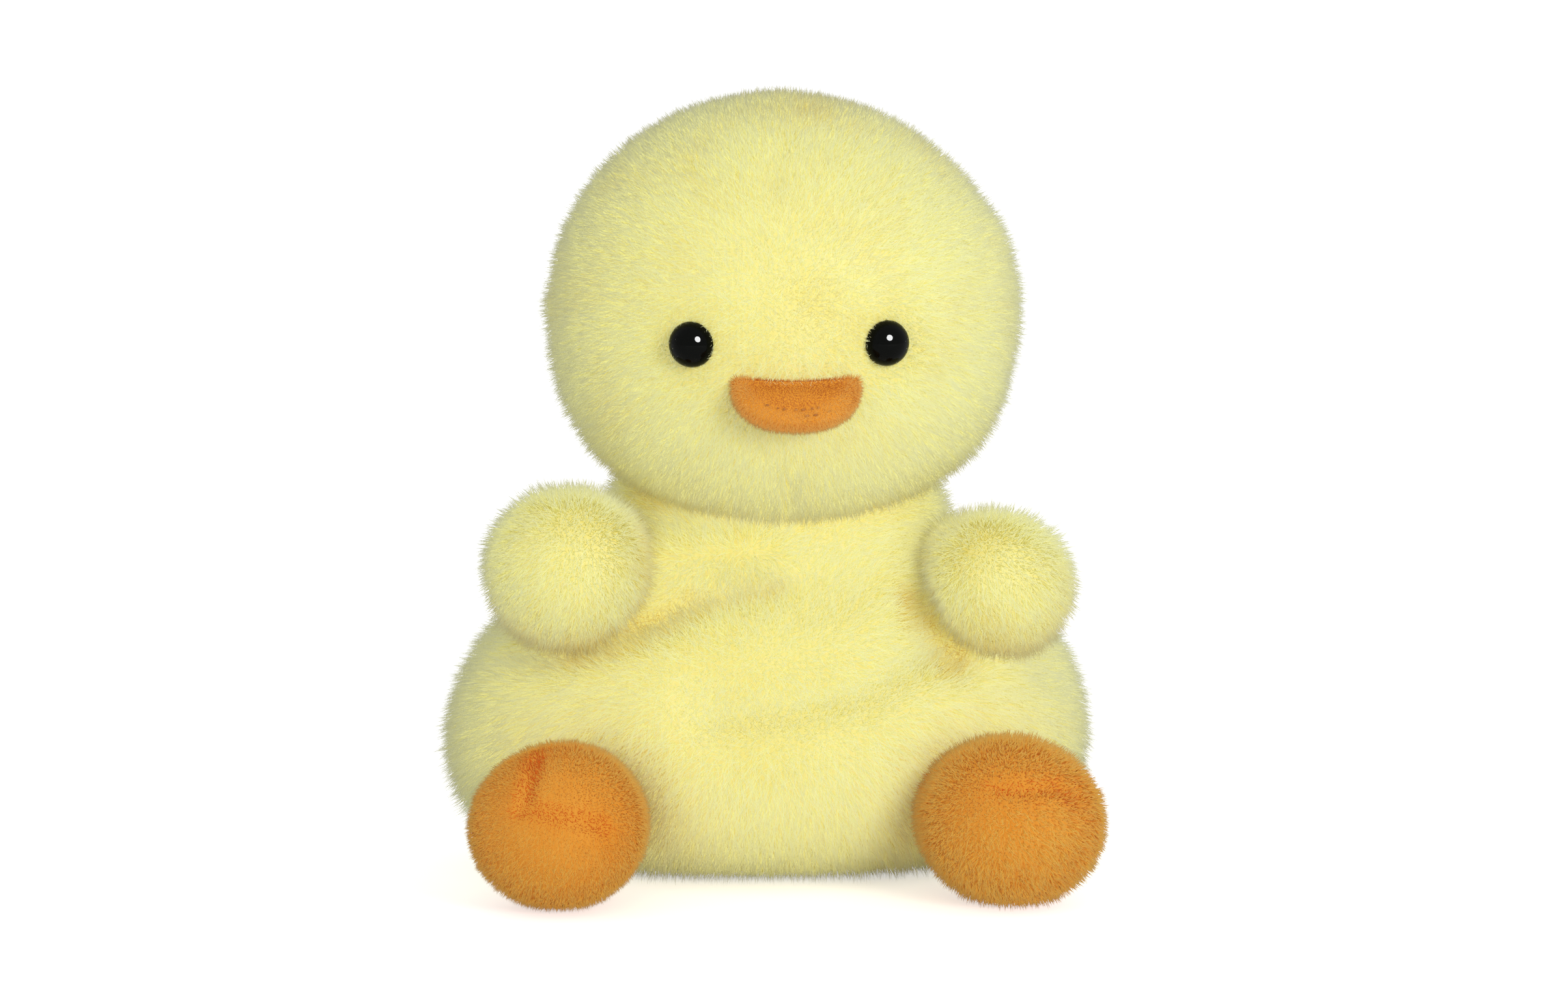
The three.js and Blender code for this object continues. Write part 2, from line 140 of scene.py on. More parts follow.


# Polyester plush: crimped, softly glossy fibres, deeper yellow at the root, painted for the light that
# bounces between them, pale at the tip; the second tone and the deep colour are a painted golden shade down
# in the folds and where parts meet
plushTints = {"root": "#ebe680", "middle": "#f1f0a2", "tip": "#f7fad2",
              "shadeAndToneRoot": "#d2ac3a", "shadeAndToneTip": "#e4ca5a", "deep": "#cca236"}
plushPile = pileMaterial("polyesterPlushPile", plushTints, 0.5, 0.08)

# Short orange velour: the same fibre cut close, so the tone shifts with the way the nap lies
# its second tone and deep colour give the right toe seam its own red, and a painted shade where a foot meets
# the body and beside its seam
velourTints = {"root": "#d4922a", "middle": "#dda642", "tip": "#e9bc66",
               "shadeAndToneRoot": "#da7a18", "shadeAndToneTip": "#e48e28", "deep": "#d0600f"}
velourPile = pileMaterial("orangeVelourPile", velourTints, 0.5, 0.05)

# Closer velour on the beak: cut so short that it looks smooth, with a redder ground
beakTints = {"root": "#d88e34", "middle": "#e2a048", "tip": "#ecb462",
             "shadeAndToneRoot": "#cc7019", "shadeAndToneTip": "#da8226", "deep": "#c0661a"}
beakVelour = pileMaterial("closeCutVelourPile", beakTints, 0.55, 0.05)


# Warp-knit backing: fine matt courses, seen only where the pile parts, and drawn coarser than real to show
def knitMaterial(name, deep, pale):
    material, tree, shader = newMaterial(name)
    place = addNode(tree, "ShaderNodeTexCoord").outputs["Object"]
    courses = addNode(tree, "ShaderNodeTexWave", {
        "Scale": bandSpacing / (0.987 * mm), "Distortion": 1.5, "Detail": 1.0}, {"Vector": place})
    cloud = addNode(tree, "ShaderNodeTexNoise", {"Scale": 1 / (9 * mm), "Detail": 3.0}, {"Vector": place})
    tone = addNode(tree, "ShaderNodeMath", {"operation": "MULTIPLY_ADD", 1: 0.2},
                   {0: courses.outputs["Fac"], 2: cloud.outputs["Fac"]})
    ramp = addNode(tree, "ShaderNodeValToRGB", {"stops": {0.3: deep, 0.95: pale}}, {"Fac": made(tone)})
    bump = addNode(tree, "ShaderNodeBump", {"Strength": 0.2, "Distance": 0.1 * mm},
                   {"Height": courses.outputs["Fac"]})
    setShader(tree, shader, {"Roughness": 0.85, "IOR": fibreIor, "Specular IOR Level": 0.2},
              {"Base Color": ramp, "Normal": bump})
    return material


# Polyester fibrefill: white curled fibre in loose lumps
def fillMaterial():
    material, tree, shader = newMaterial("polyesterFibrefill")
    place = addNode(tree, "ShaderNodeTexCoord").outputs["Object"]
    curl = addNode(tree, "ShaderNodeTexNoise", {"Scale": 1 / (2.5 * mm), "Detail": 5.0, "Distortion": 2.0},
                   {"Vector": place})
    ramp = addNode(tree, "ShaderNodeValToRGB", {"stops": {0.0: "#d9d8d2", 1.0: "#fbfbf8"}},
                   {"Fac": curl.outputs["Fac"]})
    bump = addNode(tree, "ShaderNodeBump", {"Strength": 0.6, "Distance": 0.5 * mm},
                   {"Height": curl.outputs["Fac"]})
    setShader(tree, shader, {"Roughness": 0.9, "IOR": fibreIor, "Specular IOR Level": 0.2},
              {"Base Color": ramp, "Normal": bump})
    return material


# Lining cotton: undyed plain weave, its threads drawn 1.2 mm apart, coarser than real, to show
def liningMaterial():
    material, tree, shader = newMaterial("plainWeaveCotton")
    place = addNode(tree, "ShaderNodeTexCoord").outputs["Object"]
    warp, weft = (addNode(tree, "ShaderNodeTexWave", {
        "bands_direction": way, "Scale": bandSpacing / (1.184 * mm)}, {"Vector": place}) for way in "XY")
    weave = addNode(tree, "ShaderNodeMath", {"operation": "MAXIMUM"},
                    {0: warp.outputs["Fac"], 1: weft.outputs["Fac"]})
    ramp = addNode(tree, "ShaderNodeValToRGB", {"stops": {0.0: "#c9c1ab", 1.0: "#ece6d6"}},
                   {"Fac": made(weave)})
    bump = addNode(tree, "ShaderNodeBump", {"Strength": 0.5, "Distance": 0.15 * mm}, {"Height": made(weave)})
    setShader(tree, shader, {"Roughness": 0.8, "IOR": fibreIor, "Specular IOR Level": 0.3},
              {"Base Color": ramp, "Normal": bump})
    return material


# Moulded plastics: black polished eye, white washer, milky pellets, each with a faint mould mottle
def mouldedMaterial(name, deep, pale, smooth, rough, shine):
    material, tree, shader = newMaterial(name)
    place = addNode(tree, "ShaderNodeTexCoord").outputs["Object"]
    mottle = addNode(tree, "ShaderNodeTexNoise", {"Scale": 1 / (0.8 * mm), "Detail": 4.0}, {"Vector": place})
    ramp = addNode(tree, "ShaderNodeValToRGB", {"stops": {0.0: deep, 1.0: pale}},
                   {"Fac": mottle.outputs["Fac"]})
    gloss = addNode(tree, "ShaderNodeMapRange", {"To Min": smooth, "To Max": rough},
                    {"Value": mottle.outputs["Fac"]})
    setShader(tree, shader, {"IOR": 1.5, "Specular IOR Level": shine},
              {"Base Color": ramp, "Roughness": gloss})
    return material


# Spun polyester thread: a soft shine broken by the plies, which turn once in each 2.7 mm
def threadMaterial(name, deep, pale):
    material, tree, shader = newMaterial(name)
    place = addNode(tree, "ShaderNodeTexCoord").outputs["Object"]
    twist = addNode(tree, "ShaderNodeTexWave", {
        "bands_direction": "DIAGONAL", "Scale": diagonalSpacing / (2.735 * mm), "Distortion": 0.6},
        {"Vector": place})
    ramp = addNode(tree, "ShaderNodeValToRGB", {"stops": {0.0: deep, 1.0: pale}},
                   {"Fac": twist.outputs["Fac"]})
    bump = addNode(tree, "ShaderNodeBump", {"Strength": 0.5, "Distance": 0.15 * mm},
                   {"Height": twist.outputs["Fac"]})
    setShader(tree, shader, {"Roughness": 0.55, "IOR": fibreIor, "Specular IOR Level": 0.4},
              {"Base Color": ramp, "Normal": bump})
    return material


plushBacking = knitMaterial("plushKnitBacking", "#e6d978", "#eee490")
velourBacking = knitMaterial("velourKnitBacking", "#d08226", "#d89236")
beakBacking = knitMaterial("closeCutVelourBacking", "#d58628", "#da8f30")
fibrefill = fillMaterial()
liningCotton = liningMaterial()
eyeBlack = mouldedMaterial("polishedBlackAbs", "#040504", "#080907", 0.04, 0.07, 0.05)
washerWhite = mouldedMaterial("mouldedPolypropylene", "#e2e2de", "#f2f2ee", 0.35, 0.5, 0.5)
pelletMilk = mouldedMaterial("polyethylenePellets", "#dcdcd6", "#f0f0ea", 0.3, 0.5, 0.5)
yellowThread = threadMaterial("yellowPolyesterThread", "#cdb545", "#e8d873")
brownThread = threadMaterial("brownPolyesterThread", "#a5642a", "#bd7c38")
print("materials:", len(bpy.data.materials))

# Shared making of the stuffed forms


def meshObject(name, bm):
    mesh = bpy.data.meshes.new(name)
    bm.to_mesh(mesh)
    bm.free()
    for face in mesh.polygons:
        face.use_smooth = True
    obj = bpy.data.objects.new(name, mesh)
    scene.collection.objects.link(obj)
    return obj


def addBall(bm, around, upwards, place):    # a unit ball, its faces in the same order on every run
    def spot(level, step):
        tall, turn = math.pi * level / upwards, 2 * math.pi * step / around
        flat = math.sin(tall)
        return place @ Vector((flat * math.cos(turn), flat * math.sin(turn), math.cos(tall)))

    top, bottom = bm.verts.new(spot(0, 0)), bm.verts.new(spot(upwards, 0))
    rings = [[bm.verts.new(spot(level, step)) for step in range(around)] for level in range(1, upwards)]
    for step in range(around):
        after = (step + 1) % around
        bm.faces.new((top, rings[0][step], rings[0][after]))
        for upper, lower in zip(rings, rings[1:]):
            bm.faces.new((upper[step], lower[step], lower[after], upper[after]))
        bm.faces.new((rings[-1][step], bottom, rings[-1][after]))


def settled(obj):                                        # keeps what the modifiers make of the mesh
    bpy.context.view_layer.update()
    graph = bpy.context.evaluated_depsgraph_get()
    mesh = bpy.data.meshes.new_from_object(obj.evaluated_get(graph), preserve_all_data_layers=True,
                                           depsgraph=graph)
    old = obj.data
    obj.modifiers.clear()
    obj.data = mesh
    bpy.data.meshes.remove(old)
    return obj


def reclad(obj, material):                               # takes the old materials off
    obj.data.materials.clear()
    obj.data.materials.append(material)


def relaxed(obj, passes):
    bm = bmesh.new()
    bm.from_mesh(obj.data)
    for _ in range(passes):
        bmesh.ops.smooth_vert(bm, verts=bm.verts, factor=0.5,
                              use_axis_x=True, use_axis_y=True, use_axis_z=True)
    bm.to_mesh(obj.data)
    bm.free()


def nearSeam(point, seams):
    return min(abs((point - Vector(at)).dot(Vector(along).normalized())) for at, along in seams)


def stuffedForm(name, settings):    # cloth blown up from a smaller copy, held at its seams
    bm = bmesh.new()
    for node in settings["nodes"]:
        bm.from_mesh(nodes[node].data)
    if "plug" in settings:                               # fills the neck's cup, out of sight inside the head
        ball = bmesh.ops.create_icosphere(bm, subdivisions=4, radius=1.0)["verts"]
        bmesh.ops.scale(bm, verts=ball, vec=settings["plug"]["half"])
        bmesh.ops.translate(bm, verts=ball, vec=settings["plug"]["at"])
    bmesh.ops.remove_doubles(bm, verts=bm.verts, dist=0.01 * mm)
    form = meshObject(name, bm)
    remesh = form.modifiers.new("remesh", "REMESH")
    remesh.mode, remesh.voxel_size = "VOXEL", settings["voxel"]
    settled(form)
    relaxed(form, settings["relax"])
    inset = form.modifiers.new("inset", "DISPLACE")
    inset.strength, inset.mid_level = -settings["inset"], 0.0
    settled(form)
    swell(form, settings)
    soften = form.modifiers.new("soften", "SUBSURF")
    soften.levels = soften.render_levels = 1
    settled(form)
    print("form", name, len(form.data.vertices), "points")
    return form


swellSettings = {"enlarge": 10, "mass": 0.1, "stretch": 8, "bend": 0.2, "frames": 20, "seamSlack": 0.5}


def swell(form, settings):    # at ten times the size, where cloth this small still moves
    held = form.vertex_groups.new(name="held")
    for vertex in form.data.vertices:
        reach = nearSeam(vertex.co, settings["seams"]) / settings["hold"]
        if reach < 1:
            held.add([vertex.index], 1.0 - swellSettings["seamSlack"] * reach, "REPLACE")
    start = [vertex.co.copy() for vertex in form.data.vertices]
    form.data.transform(Matrix.Scale(swellSettings["enlarge"], 4))
    cloth = form.modifiers.new("swell", "CLOTH")
    cloth.settings.use_pressure = True
    cloth.settings.uniform_pressure_force = settings["pressure"]
    cloth.settings.effector_weights.gravity = 0
    cloth.settings.mass = swellSettings["mass"]
    cloth.settings.tension_stiffness = cloth.settings.compression_stiffness = swellSettings["stretch"]
    cloth.settings.bending_stiffness = swellSettings["bend"]
    cloth.settings.vertex_group_mass = "held"
    cloth.point_cache.frame_start, cloth.point_cache.frame_end = 1, swellSettings["frames"]
    for number in range(1, swellSettings["frames"] + 1):
        scene.frame_set(number)
    graph = bpy.context.evaluated_depsgraph_get()
    blown = [vertex.co / swellSettings["enlarge"] for vertex in form.evaluated_get(graph).data.vertices]
    form.modifiers.clear()
    form.vertex_groups.clear()
    scene.frame_set(1)
    most = max((now - was).length for was, now in zip(start, blown))
    for vertex, was, now in zip(form.data.vertices, start, blown):
        move = now - was
        vertex.co = was + move * min(1.0, settings["cap"] / max(move.length, 1e-9))
    print("swell", form.name, "largest move", round(most / mm, 2), "mm, cap", round(settings["cap"] / mm, 2))


def pathDistance(point, path):
    best = 1.0
    for start, end in zip(path, path[1:]):
        along = end - start
        share = min(1.0, max(0.0, (point - start).dot(along) / along.length_squared))
        best = min(best, (point - start - along * share).length)
    return best


def pressFolds(form, folds):    # each: a path in mm, its depth (below 0 swells), its width
    moves = [Vector() for _ in form.data.vertices]
    for fold in folds.values():
        path = [Vector(spot) * mm for spot in fold["path"]]
        for vertex in form.data.vertices:
            far = pathDistance(vertex.co, path) / (fold["width"] * mm)
            if far < 3:
                moves[vertex.index] -= vertex.normal * fold["depth"] * mm * math.exp(-far * far)
    for vertex, move in zip(form.data.vertices, moves):
        vertex.co += move


def panelSheet(form, name, cuts):                        # one sewn panel: the form cut at its seam planes
    bm = bmesh.new()
    bm.from_mesh(form.data)
    for at, along, keepFar in cuts:
        bmesh.ops.bisect_plane(bm, geom=bm.verts[:] + bm.edges[:] + bm.faces[:], dist=1e-7,
                               plane_co=Vector(at), plane_no=Vector(along),
                               clear_inner=keepFar, clear_outer=not keepFar)
    return meshObject(name, bm)


strandShape = {"sides": 3, "mapMargin": 0.04, "mapSkew": 0.15}


def strandObject():    # one fibre: a closed three-sided spike of unit length
    bm = bmesh.new()
    bmesh.ops.create_cone(bm, cap_ends=True, segments=strandShape["sides"],
                          radius1=1.0, radius2=0.0, depth=1.0)
    bmesh.ops.translate(bm, verts=bm.verts, vec=(0, 0, 0.5))
    bmesh.ops.remove_doubles(bm, verts=bm.verts, dist=1e-5)
    bmesh.ops.triangulate(bm, faces=bm.faces)
    sheet = bm.loops.layers.uv.new("OFBake")
    margin = strandShape["mapMargin"]
    for face in bm.faces:
        for loop in face.loops:
            x, y, z = loop.vert.co
            loop[sheet].uv = (0.5 + 0.5 * x + strandShape["mapSkew"] * y, margin + (1 - 2 * margin) * z)
    obj = meshObject("strand", bm)
    obj.hide_render = True
    return obj


strand = strandObject()
pileShape = {"tuftDetail": 2.0, "tuftRoughness": 0.75, "cloudDetail": 1.0, "flatness": 1.4, "spin": 3.14,
             "facing": (-0.9, -0.1), "toneAcross": 0.06}    # facing: the skin's y from front on to side on


def growPile(sheet, name, settings, material):           # a fibre on each of many seeded points of the panel
    bm = bmesh.new()
    bm.from_mesh(sheet.data)
    grows = bm.verts.layers.float["pile"]
    bare = [face for face in bm.faces if all(vertex[grows] <= 0 for vertex in face.verts)]
    bmesh.ops.delete(bm, geom=bare, context="FACES")     # nothing grows deep inside another form
    pile = meshObject(name, bm)
    tree = bpy.data.node_groups.new(name, "GeometryNodeTree")
    for way in ("INPUT", "OUTPUT"):
        tree.interface.new_socket("Geometry", in_out=way, socket_type="NodeSocketGeometry")
    kinds = {"comb": "FLOAT_VECTOR", "pile": "FLOAT", "ruffle": "FLOAT", "tint": "FLOAT",
             "skinNormal": "FLOAT_VECTOR", "tone": "FLOAT", "OFBake": "FLOAT_VECTOR"}
    read = {key: made(addNode(tree, "GeometryNodeInputNamedAttribute", {"data_type": kind, "Name": key}))
            for key, kind in kinds.items()}
    start = addNode(tree, "NodeGroupInput")
    scatter = addNode(tree, "GeometryNodeDistributePointsOnFaces",
                      {"Density": settings["perSquareMm"] / mm ** 2, "Seed": settings["seed"]},
                      {"Mesh": start.outputs[0]})
    skinWay = scatter.outputs["Normal"]
    place = addNode(tree, "GeometryNodeInputPosition")

    # which way each fibre leans: off the skin, combed, with its tuft, and a little astray
    tuft = addNode(tree, "ShaderNodeTexNoise", {
        "Scale": 1 / settings["tuftSize"], "Detail": pileShape["tuftDetail"],
        "Roughness": pileShape["tuftRoughness"]}, {"Vector": made(place)})
    tuft = addNode(tree, "ShaderNodeVectorMath", {
        "operation": "MULTIPLY_ADD", 1: [2 * settings["tuft"]] * 3, 2: [-settings["tuft"]] * 3},
        {0: tuft.outputs["Color"]})
    tuft = addNode(tree, "ShaderNodeVectorMath", {"operation": "SCALE"},
                   {0: made(tuft), "Scale": read["ruffle"]})
    stray = addNode(tree, "FunctionNodeRandomValue", {
        "data_type": "FLOAT_VECTOR", "Min": [-settings["stray"]] * 3, "Max": [settings["stray"]] * 3,
        "Seed": settings["seed"] + 1})
    lean = skinWay
    for push in (read["comb"], made(tuft), made(stray)):
        lean = made(addNode(tree, "ShaderNodeVectorMath", {"operation": "ADD"}, {0: lean, 1: push}))
    turned = addNode(tree, "FunctionNodeAlignRotationToVector", {"axis": "Z"}, {"Vector": lean})
    turned = addNode(tree, "FunctionNodeAlignRotationToVector", {"axis": "Y", "pivot_axis": "Z"},
                     {"Rotation": made(turned), "Vector": skinWay})
    angle = addNode(tree, "FunctionNodeRandomValue", {
        "Min": -pileShape["spin"], "Max": pileShape["spin"], "Seed": settings["seed"] + 2})
    spin = addNode(tree, "FunctionNodeAxisAngleToRotation", None, {"Angle": made(angle)})
    turned = addNode(tree, "FunctionNodeRotateRotation", {"rotation_space": "LOCAL"},
                     {"Rotation": made(turned), "Rotate By": made(spin)})

    # its length, width and tone
    share = addNode(tree, "FunctionNodeRandomValue", {
        "Min": settings["shortest"], "Max": 1.0, "Seed": settings["seed"] + 3})
    reach = addNode(tree, "ShaderNodeMath", {"operation": "MULTIPLY"}, {0: made(share), 1: read["pile"]})
    size = addNode(tree, "ShaderNodeCombineXYZ", {
        "X": settings["width"] / 2, "Y": settings["width"] / 2 / pileShape["flatness"]}, {"Z": made(reach)})
    shade = addNode(tree, "FunctionNodeRandomValue", {
        "Min": -settings["toneSpread"], "Max": settings["toneSpread"], "Seed": settings["seed"] + 4})
    cloud = addNode(tree, "ShaderNodeTexNoise", {
        "Scale": 1 / settings["cloudSize"], "Detail": pileShape["cloudDetail"]}, {"Vector": made(place)})
    tone = made(shade)
    for part in (cloud.outputs["Fac"], read["tint"]):
        tone = made(addNode(tree, "ShaderNodeMath", {"operation": "ADD"}, {0: tone, 1: part}))
    points = scatter.outputs["Points"]
    for key, value in (("skinNormal", skinWay), ("tone", tone)):
        points = made(addNode(tree, "GeometryNodeStoreNamedAttribute", {"data_type": kinds[key], "Name": key},
                              {"Geometry": points, "Value": value}))
    fibre = addNode(tree, "GeometryNodeObjectInfo", {"Object": strand})
    planted = addNode(tree, "GeometryNodeInstanceOnPoints", None, {
        "Points": points, "Instance": fibre.outputs["Geometry"],
        "Rotation": made(turned), "Scale": made(size)})
    real = addNode(tree, "GeometryNodeRealizeInstances", None, {"Geometry": made(planted)})

    # shaded partly as the skin under it, most of all front on, where single fibres don't show
    ownNormal = addNode(tree, "GeometryNodeInputNormal")
    skinParts = addNode(tree, "ShaderNodeSeparateXYZ", None, {"Vector": read["skinNormal"]})
    roundness = addNode(tree, "ShaderNodeMapRange", {
        "From Min": pileShape["facing"][0], "From Max": pileShape["facing"][1],
        "To Min": settings["roundness"][0], "To Max": settings["roundness"][1]},
        {"Value": skinParts.outputs["Y"]})
    roundness = addNode(tree, "ShaderNodeCombineXYZ", None, {axis: made(roundness) for axis in "XYZ"})
    facing = addNode(tree, "ShaderNodeVectorMath", {"operation": "MULTIPLY_ADD"},
                     {0: made(ownNormal), 1: made(roundness), 2: read["skinNormal"]})
    facing = addNode(tree, "ShaderNodeVectorMath", {"operation": "NORMALIZE"}, {0: made(facing)})
    shaded = addNode(tree, "GeometryNodeSetMeshNormal", {"mode": "FREE", "domain": "POINT"},
                     {"Mesh": made(real), "Custom Normal": made(facing)})
    spot = addNode(tree, "ShaderNodeSeparateXYZ", None, {"Vector": read["OFBake"]})
    across = addNode(tree, "ShaderNodeMath", {
        "operation": "MULTIPLY_ADD", 1: pileShape["toneAcross"], 2: -pileShape["toneAcross"] / 2},
        {0: spot.outputs["X"]})
    across = addNode(tree, "ShaderNodeMath", {"operation": "ADD", "use_clamp": True},
                     {0: made(across), 1: read["tone"]})
    mapped = addNode(tree, "ShaderNodeCombineXYZ", None, {"X": made(across), "Y": spot.outputs["Y"]})
    mapped = addNode(tree, "GeometryNodeStoreNamedAttribute",
                     {"data_type": "FLOAT2", "domain": "CORNER", "Name": "OFBake"},
                     {"Geometry": made(shaded), "Value": made(mapped)})
    addNode(tree, "NodeGroupOutput", None, {0: made(mapped)})
    pile.modifiers.new("pile", "NODES").node_group = tree
    settled(pile)
    for spare in ("skinNormal", "tone"):
        if spare in pile.data.attributes:
            pile.data.attributes.remove(pile.data.attributes[spare])
    reclad(pile, material)
    bpy.data.node_groups.remove(tree)
    print("pile", name, len(pile.data.polygons), "faces")
    return pile


def combSheet(sheet, rule):    # the rule gives each point its lean, length, ruffle and tint
    leans, *others = zip(*(rule(vertex.co, vertex.normal) for vertex in sheet.data.vertices))
    comb = sheet.data.attributes.new("comb", "FLOAT_VECTOR", "POINT")
    comb.data.foreach_set("vector", [part for lean in leans for part in lean])
    for name, values in zip(("pile", "ruffle", "tint"), others):
        sheet.data.attributes.new(name, "FLOAT", "POINT").data.foreach_set("value", list(values))


def sewnPanel(sheet, node, body, backing, thickness):
    reclad(sheet, backing)
    wall = sheet.modifiers.new("backing", "SOLIDIFY")
    wall.thickness, wall.offset = thickness, -1.0
    settled(sheet)
    sheet.data.set_sharp_from_angle(angle=math.radians(50))    # or the seams' cut edges would shade dark
    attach(sheet, body)
    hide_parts(node)


# Stuffed forms: head, body, two wings and two feet

acrossWay, backWay, upWay = (1, 0, 0), (0, 1, 0), (0, 0, 1)
headSettings = {
    "nodes": ["head_left_panel", "head_right_panel", "head_back_panel", "head_stuffing"],
    "voxel": 3.5 * mm, "relax": 5, "inset": 2.7 * mm, "hold": 4 * mm, "pressure": 300.0, "cap": 1.4 * mm,
    "backSeam": headCentre.y + 9 * mm}
headSettings["seams"] = [((0, headSettings["backSeam"], 0), backWay)]
headFolds = {
    "forehead": {"path": [(0, -14, 119), (-0.2, -18.2, 115.2)], "depth": 1.0, "width": 2.2},    # at the seam
    "chin": {"path": [(3.4, -19.4, 66.6), (4, -9.1, 58.9)], "depth": 0.9, "width": 2.0},
    "cheek": {"path": [(39, 4, 97), (39, 4, 84), (34, 4, 74)], "depth": -1.7, "width": 13.0}}
bodySettings = {
    "nodes": ["body_front_panel", "body_back_panel", "body_seat_panel", "body_stuffing",
              "bean_pouch_upper", "bean_pouch_lower", "bean_filling"],
    "voxel": 3.5 * mm, "relax": 4, "inset": 3.2 * mm, "hold": 4 * mm, "pressure": 250.0, "cap": 1.6 * mm,
    "plug": {"at": headCentre, "half": Vector((34.2, 33.0, 33.0)) * mm}, "top": 70 * mm,
    "sideSeam": 10.77 * mm, "seatSeam": 5 * mm}
bodySettings["seams"] = [((0, bodySettings["sideSeam"], 0), backWay),
                         ((0, 0, bodySettings["seatSeam"]), upWay)]
bodyFolds = {
    "armCrease": {"path": [(-41.8, -2.3, 37.2), (-35.1, -8.2, 38.1), (-26.9, -11.1, 40.5),
                           (-19.6, -11.7, 43.2), (-11.2, -10.1, 47.1), (-0.1, -9.5, 49.4)],
                  "depth": 3.6, "width": 2.8},
    "armSwell": {"path": [(-30, -6, 49), (-24, -4, 50), (-19.2, -3.8, 51), (-11, -5.5, 52.7),
                          (-3.7, -6.9, 53.9)], "depth": -5.0, "width": 5.5},
    "valley": {"path": [(22.9, -14, 40), (16.4, -18.2, 36), (10.1, -20.1, 34.2), (0.6, -21.4, 32.4),
                        (-9.7, -21.3, 30.9)], "depth": 3.8, "width": 6.0},
    "wingHollow": {"path": [(24.4, -7.4, 46.6), (25.4, -9.8, 44), (27.2, -12, 40.6), (30.6, -13, 37.6)],
                   "depth": 3.8, "width": 3.4},
    "flankPress": {"path": [(44, -4, 35), (47.4, -0.6, 32.4)], "depth": 1.8, "width": 5.0}}
wingSettings = {
    "voxel": 2.4 * mm, "relax": 2, "hold": 2.5 * mm, "pressure": 250.0, "cap": 1.4 * mm,
    "insets": {"left": 2.4 * mm, "right": 1.0 * mm}}
footSettings = {
    "voxel": 2.2 * mm, "relax": 3, "inset": 1.5 * mm, "hold": 2.5 * mm, "pressure": 300.0, "cap": 0.9 * mm,
    "seamHeight": 19.5 * mm, "toeSeam": {"depth": 0.9, "width": 1.4}}
toeAt = (0, 0, footSettings["seamHeight"])


def jointPlane(name):    # a wing's seam plane: through its root, square to its axis
    return Vector(joints[name]["pos_m"]), Vector(joints[name]["axis"])


headForm = stuffedForm("headForm", headSettings)
bodyForm = stuffedForm("bodyForm", bodySettings)
pressFolds(headForm, headFolds)
pressFolds(bodyForm, bodyFolds)
limbForms = {}
for side in sides:
    wing = dict(wingSettings, seams=[jointPlane(f"{side}_wing_swing")], inset=wingSettings["insets"][side],
                nodes=[f"{side}_wing_{part}" for part in ("front_panel", "back_panel", "stuffing")])
    limbForms[f"{side}_wing"] = stuffedForm(f"{side}WingForm", wing)
    foot = dict(footSettings, seams=[(toeAt, upWay)],
                nodes=[f"{side}_foot_{part}" for part in ("upper_panel", "sole_panel", "stuffing")])
    limbForms[f"{side}_foot"] = stuffedForm(f"{side}FootForm", foot)


def surfaceOf(form):
    return BVHTree.FromPolygons([v.co for v in form.data.vertices], [f.vertices for f in form.data.polygons])


def laid(form, path, steps=8):                           # a path in mm, drawn down onto a form in short steps
    surface = surfaceOf(form)
    spots = [Vector(start).lerp(Vector(end), step / steps) for start, end in zip(path, path[1:])
             for step in range(steps)]
    return [surface.find_nearest(spot * mm)[0] for spot in spots + [Vector(path[-1])]]


footSeams = {    # the toe seam, and the right foot's dart that runs up from it
    "left": [[(33.6, -42.2, 21.5), (38.5, -42.4, 21.2), (43.2, -40.7, 21.5), (47.5, -38.2, 19.9)]],
    "right": [[(-42.5, -43, 19.2), (-34.8, -45.4, 17.8), (-27.7, -44, 15.7)],
              [(-39.2, -34.3, 26.3), (-40.4, -39.2, 24.2), (-41.4, -41.8, 21.3)]]}
for side in sides:
    footSeams[side] = [laid(limbForms[f"{side}_foot"], path) for path in footSeams[side]]
    pressFolds(limbForms[f"{side}_foot"], {
        number: dict(footSettings["toeSeam"], path=[spot / mm for spot in path])
        for number, path in enumerate(footSeams[side])})

# Beak: a small stuffed pad, shaped from a ball

beakSettings = {
    "halfWidth": 9.8 * mm, "reach": 8.0 * mm, "halfThickness": 2.7 * mm, "squareness": 2.4, "bluntness": 0.7,
    "dish": 0.5 * mm, "dishPower": 1.5, "thinBehind": 1 * mm, "thinOver": 5 * mm, "thinTo": 0.5,
    "dip": 0.9 * mm, "dipFade": 4 * mm, "behind": 0.6 * mm, "segments": (72, 40),
    "root": headCentre + Vector((0.8, -34.38, -8.2)) * mm, "tilt": math.radians(50)}
beakSettings["up"] = Vector((0, -math.sin(beakSettings["tilt"]), math.cos(beakSettings["tilt"])))
beakSettings["ahead"] = Vector((0, -math.cos(beakSettings["tilt"]), -math.sin(beakSettings["tilt"])))


def padPoint(x, y, z):    # a point of the unit ball, drawn out to the blunt, dished pad
    rim = math.hypot(x, y)
    power = beakSettings["squareness"]
    square = 1.0 if rim < 1e-6 else (abs(x / rim) ** power + abs(y / rim) ** power) ** (-1 / power)
    high = math.copysign(abs(z) ** beakSettings["bluntness"], z) * beakSettings["halfThickness"]
    if z > 0:    # the upper face sinks at its middle and thins towards the head
        high -= beakSettings["dish"] * max(0.0, 1 - rim * rim) ** beakSettings["dishPower"]
        rise = (y * beakSettings["reach"] + beakSettings["thinBehind"]) / beakSettings["thinOver"]
        rise = min(1.0, max(0.0, rise))
        high *= beakSettings["thinTo"] + (1 - beakSettings["thinTo"]) * rise * rise * (3 - 2 * rise)
    return (beakSettings["root"] + Vector((x * square * beakSettings["halfWidth"], 0, 0))
            + beakSettings["ahead"] * y * square * beakSettings["reach"] + beakSettings["up"] * high)


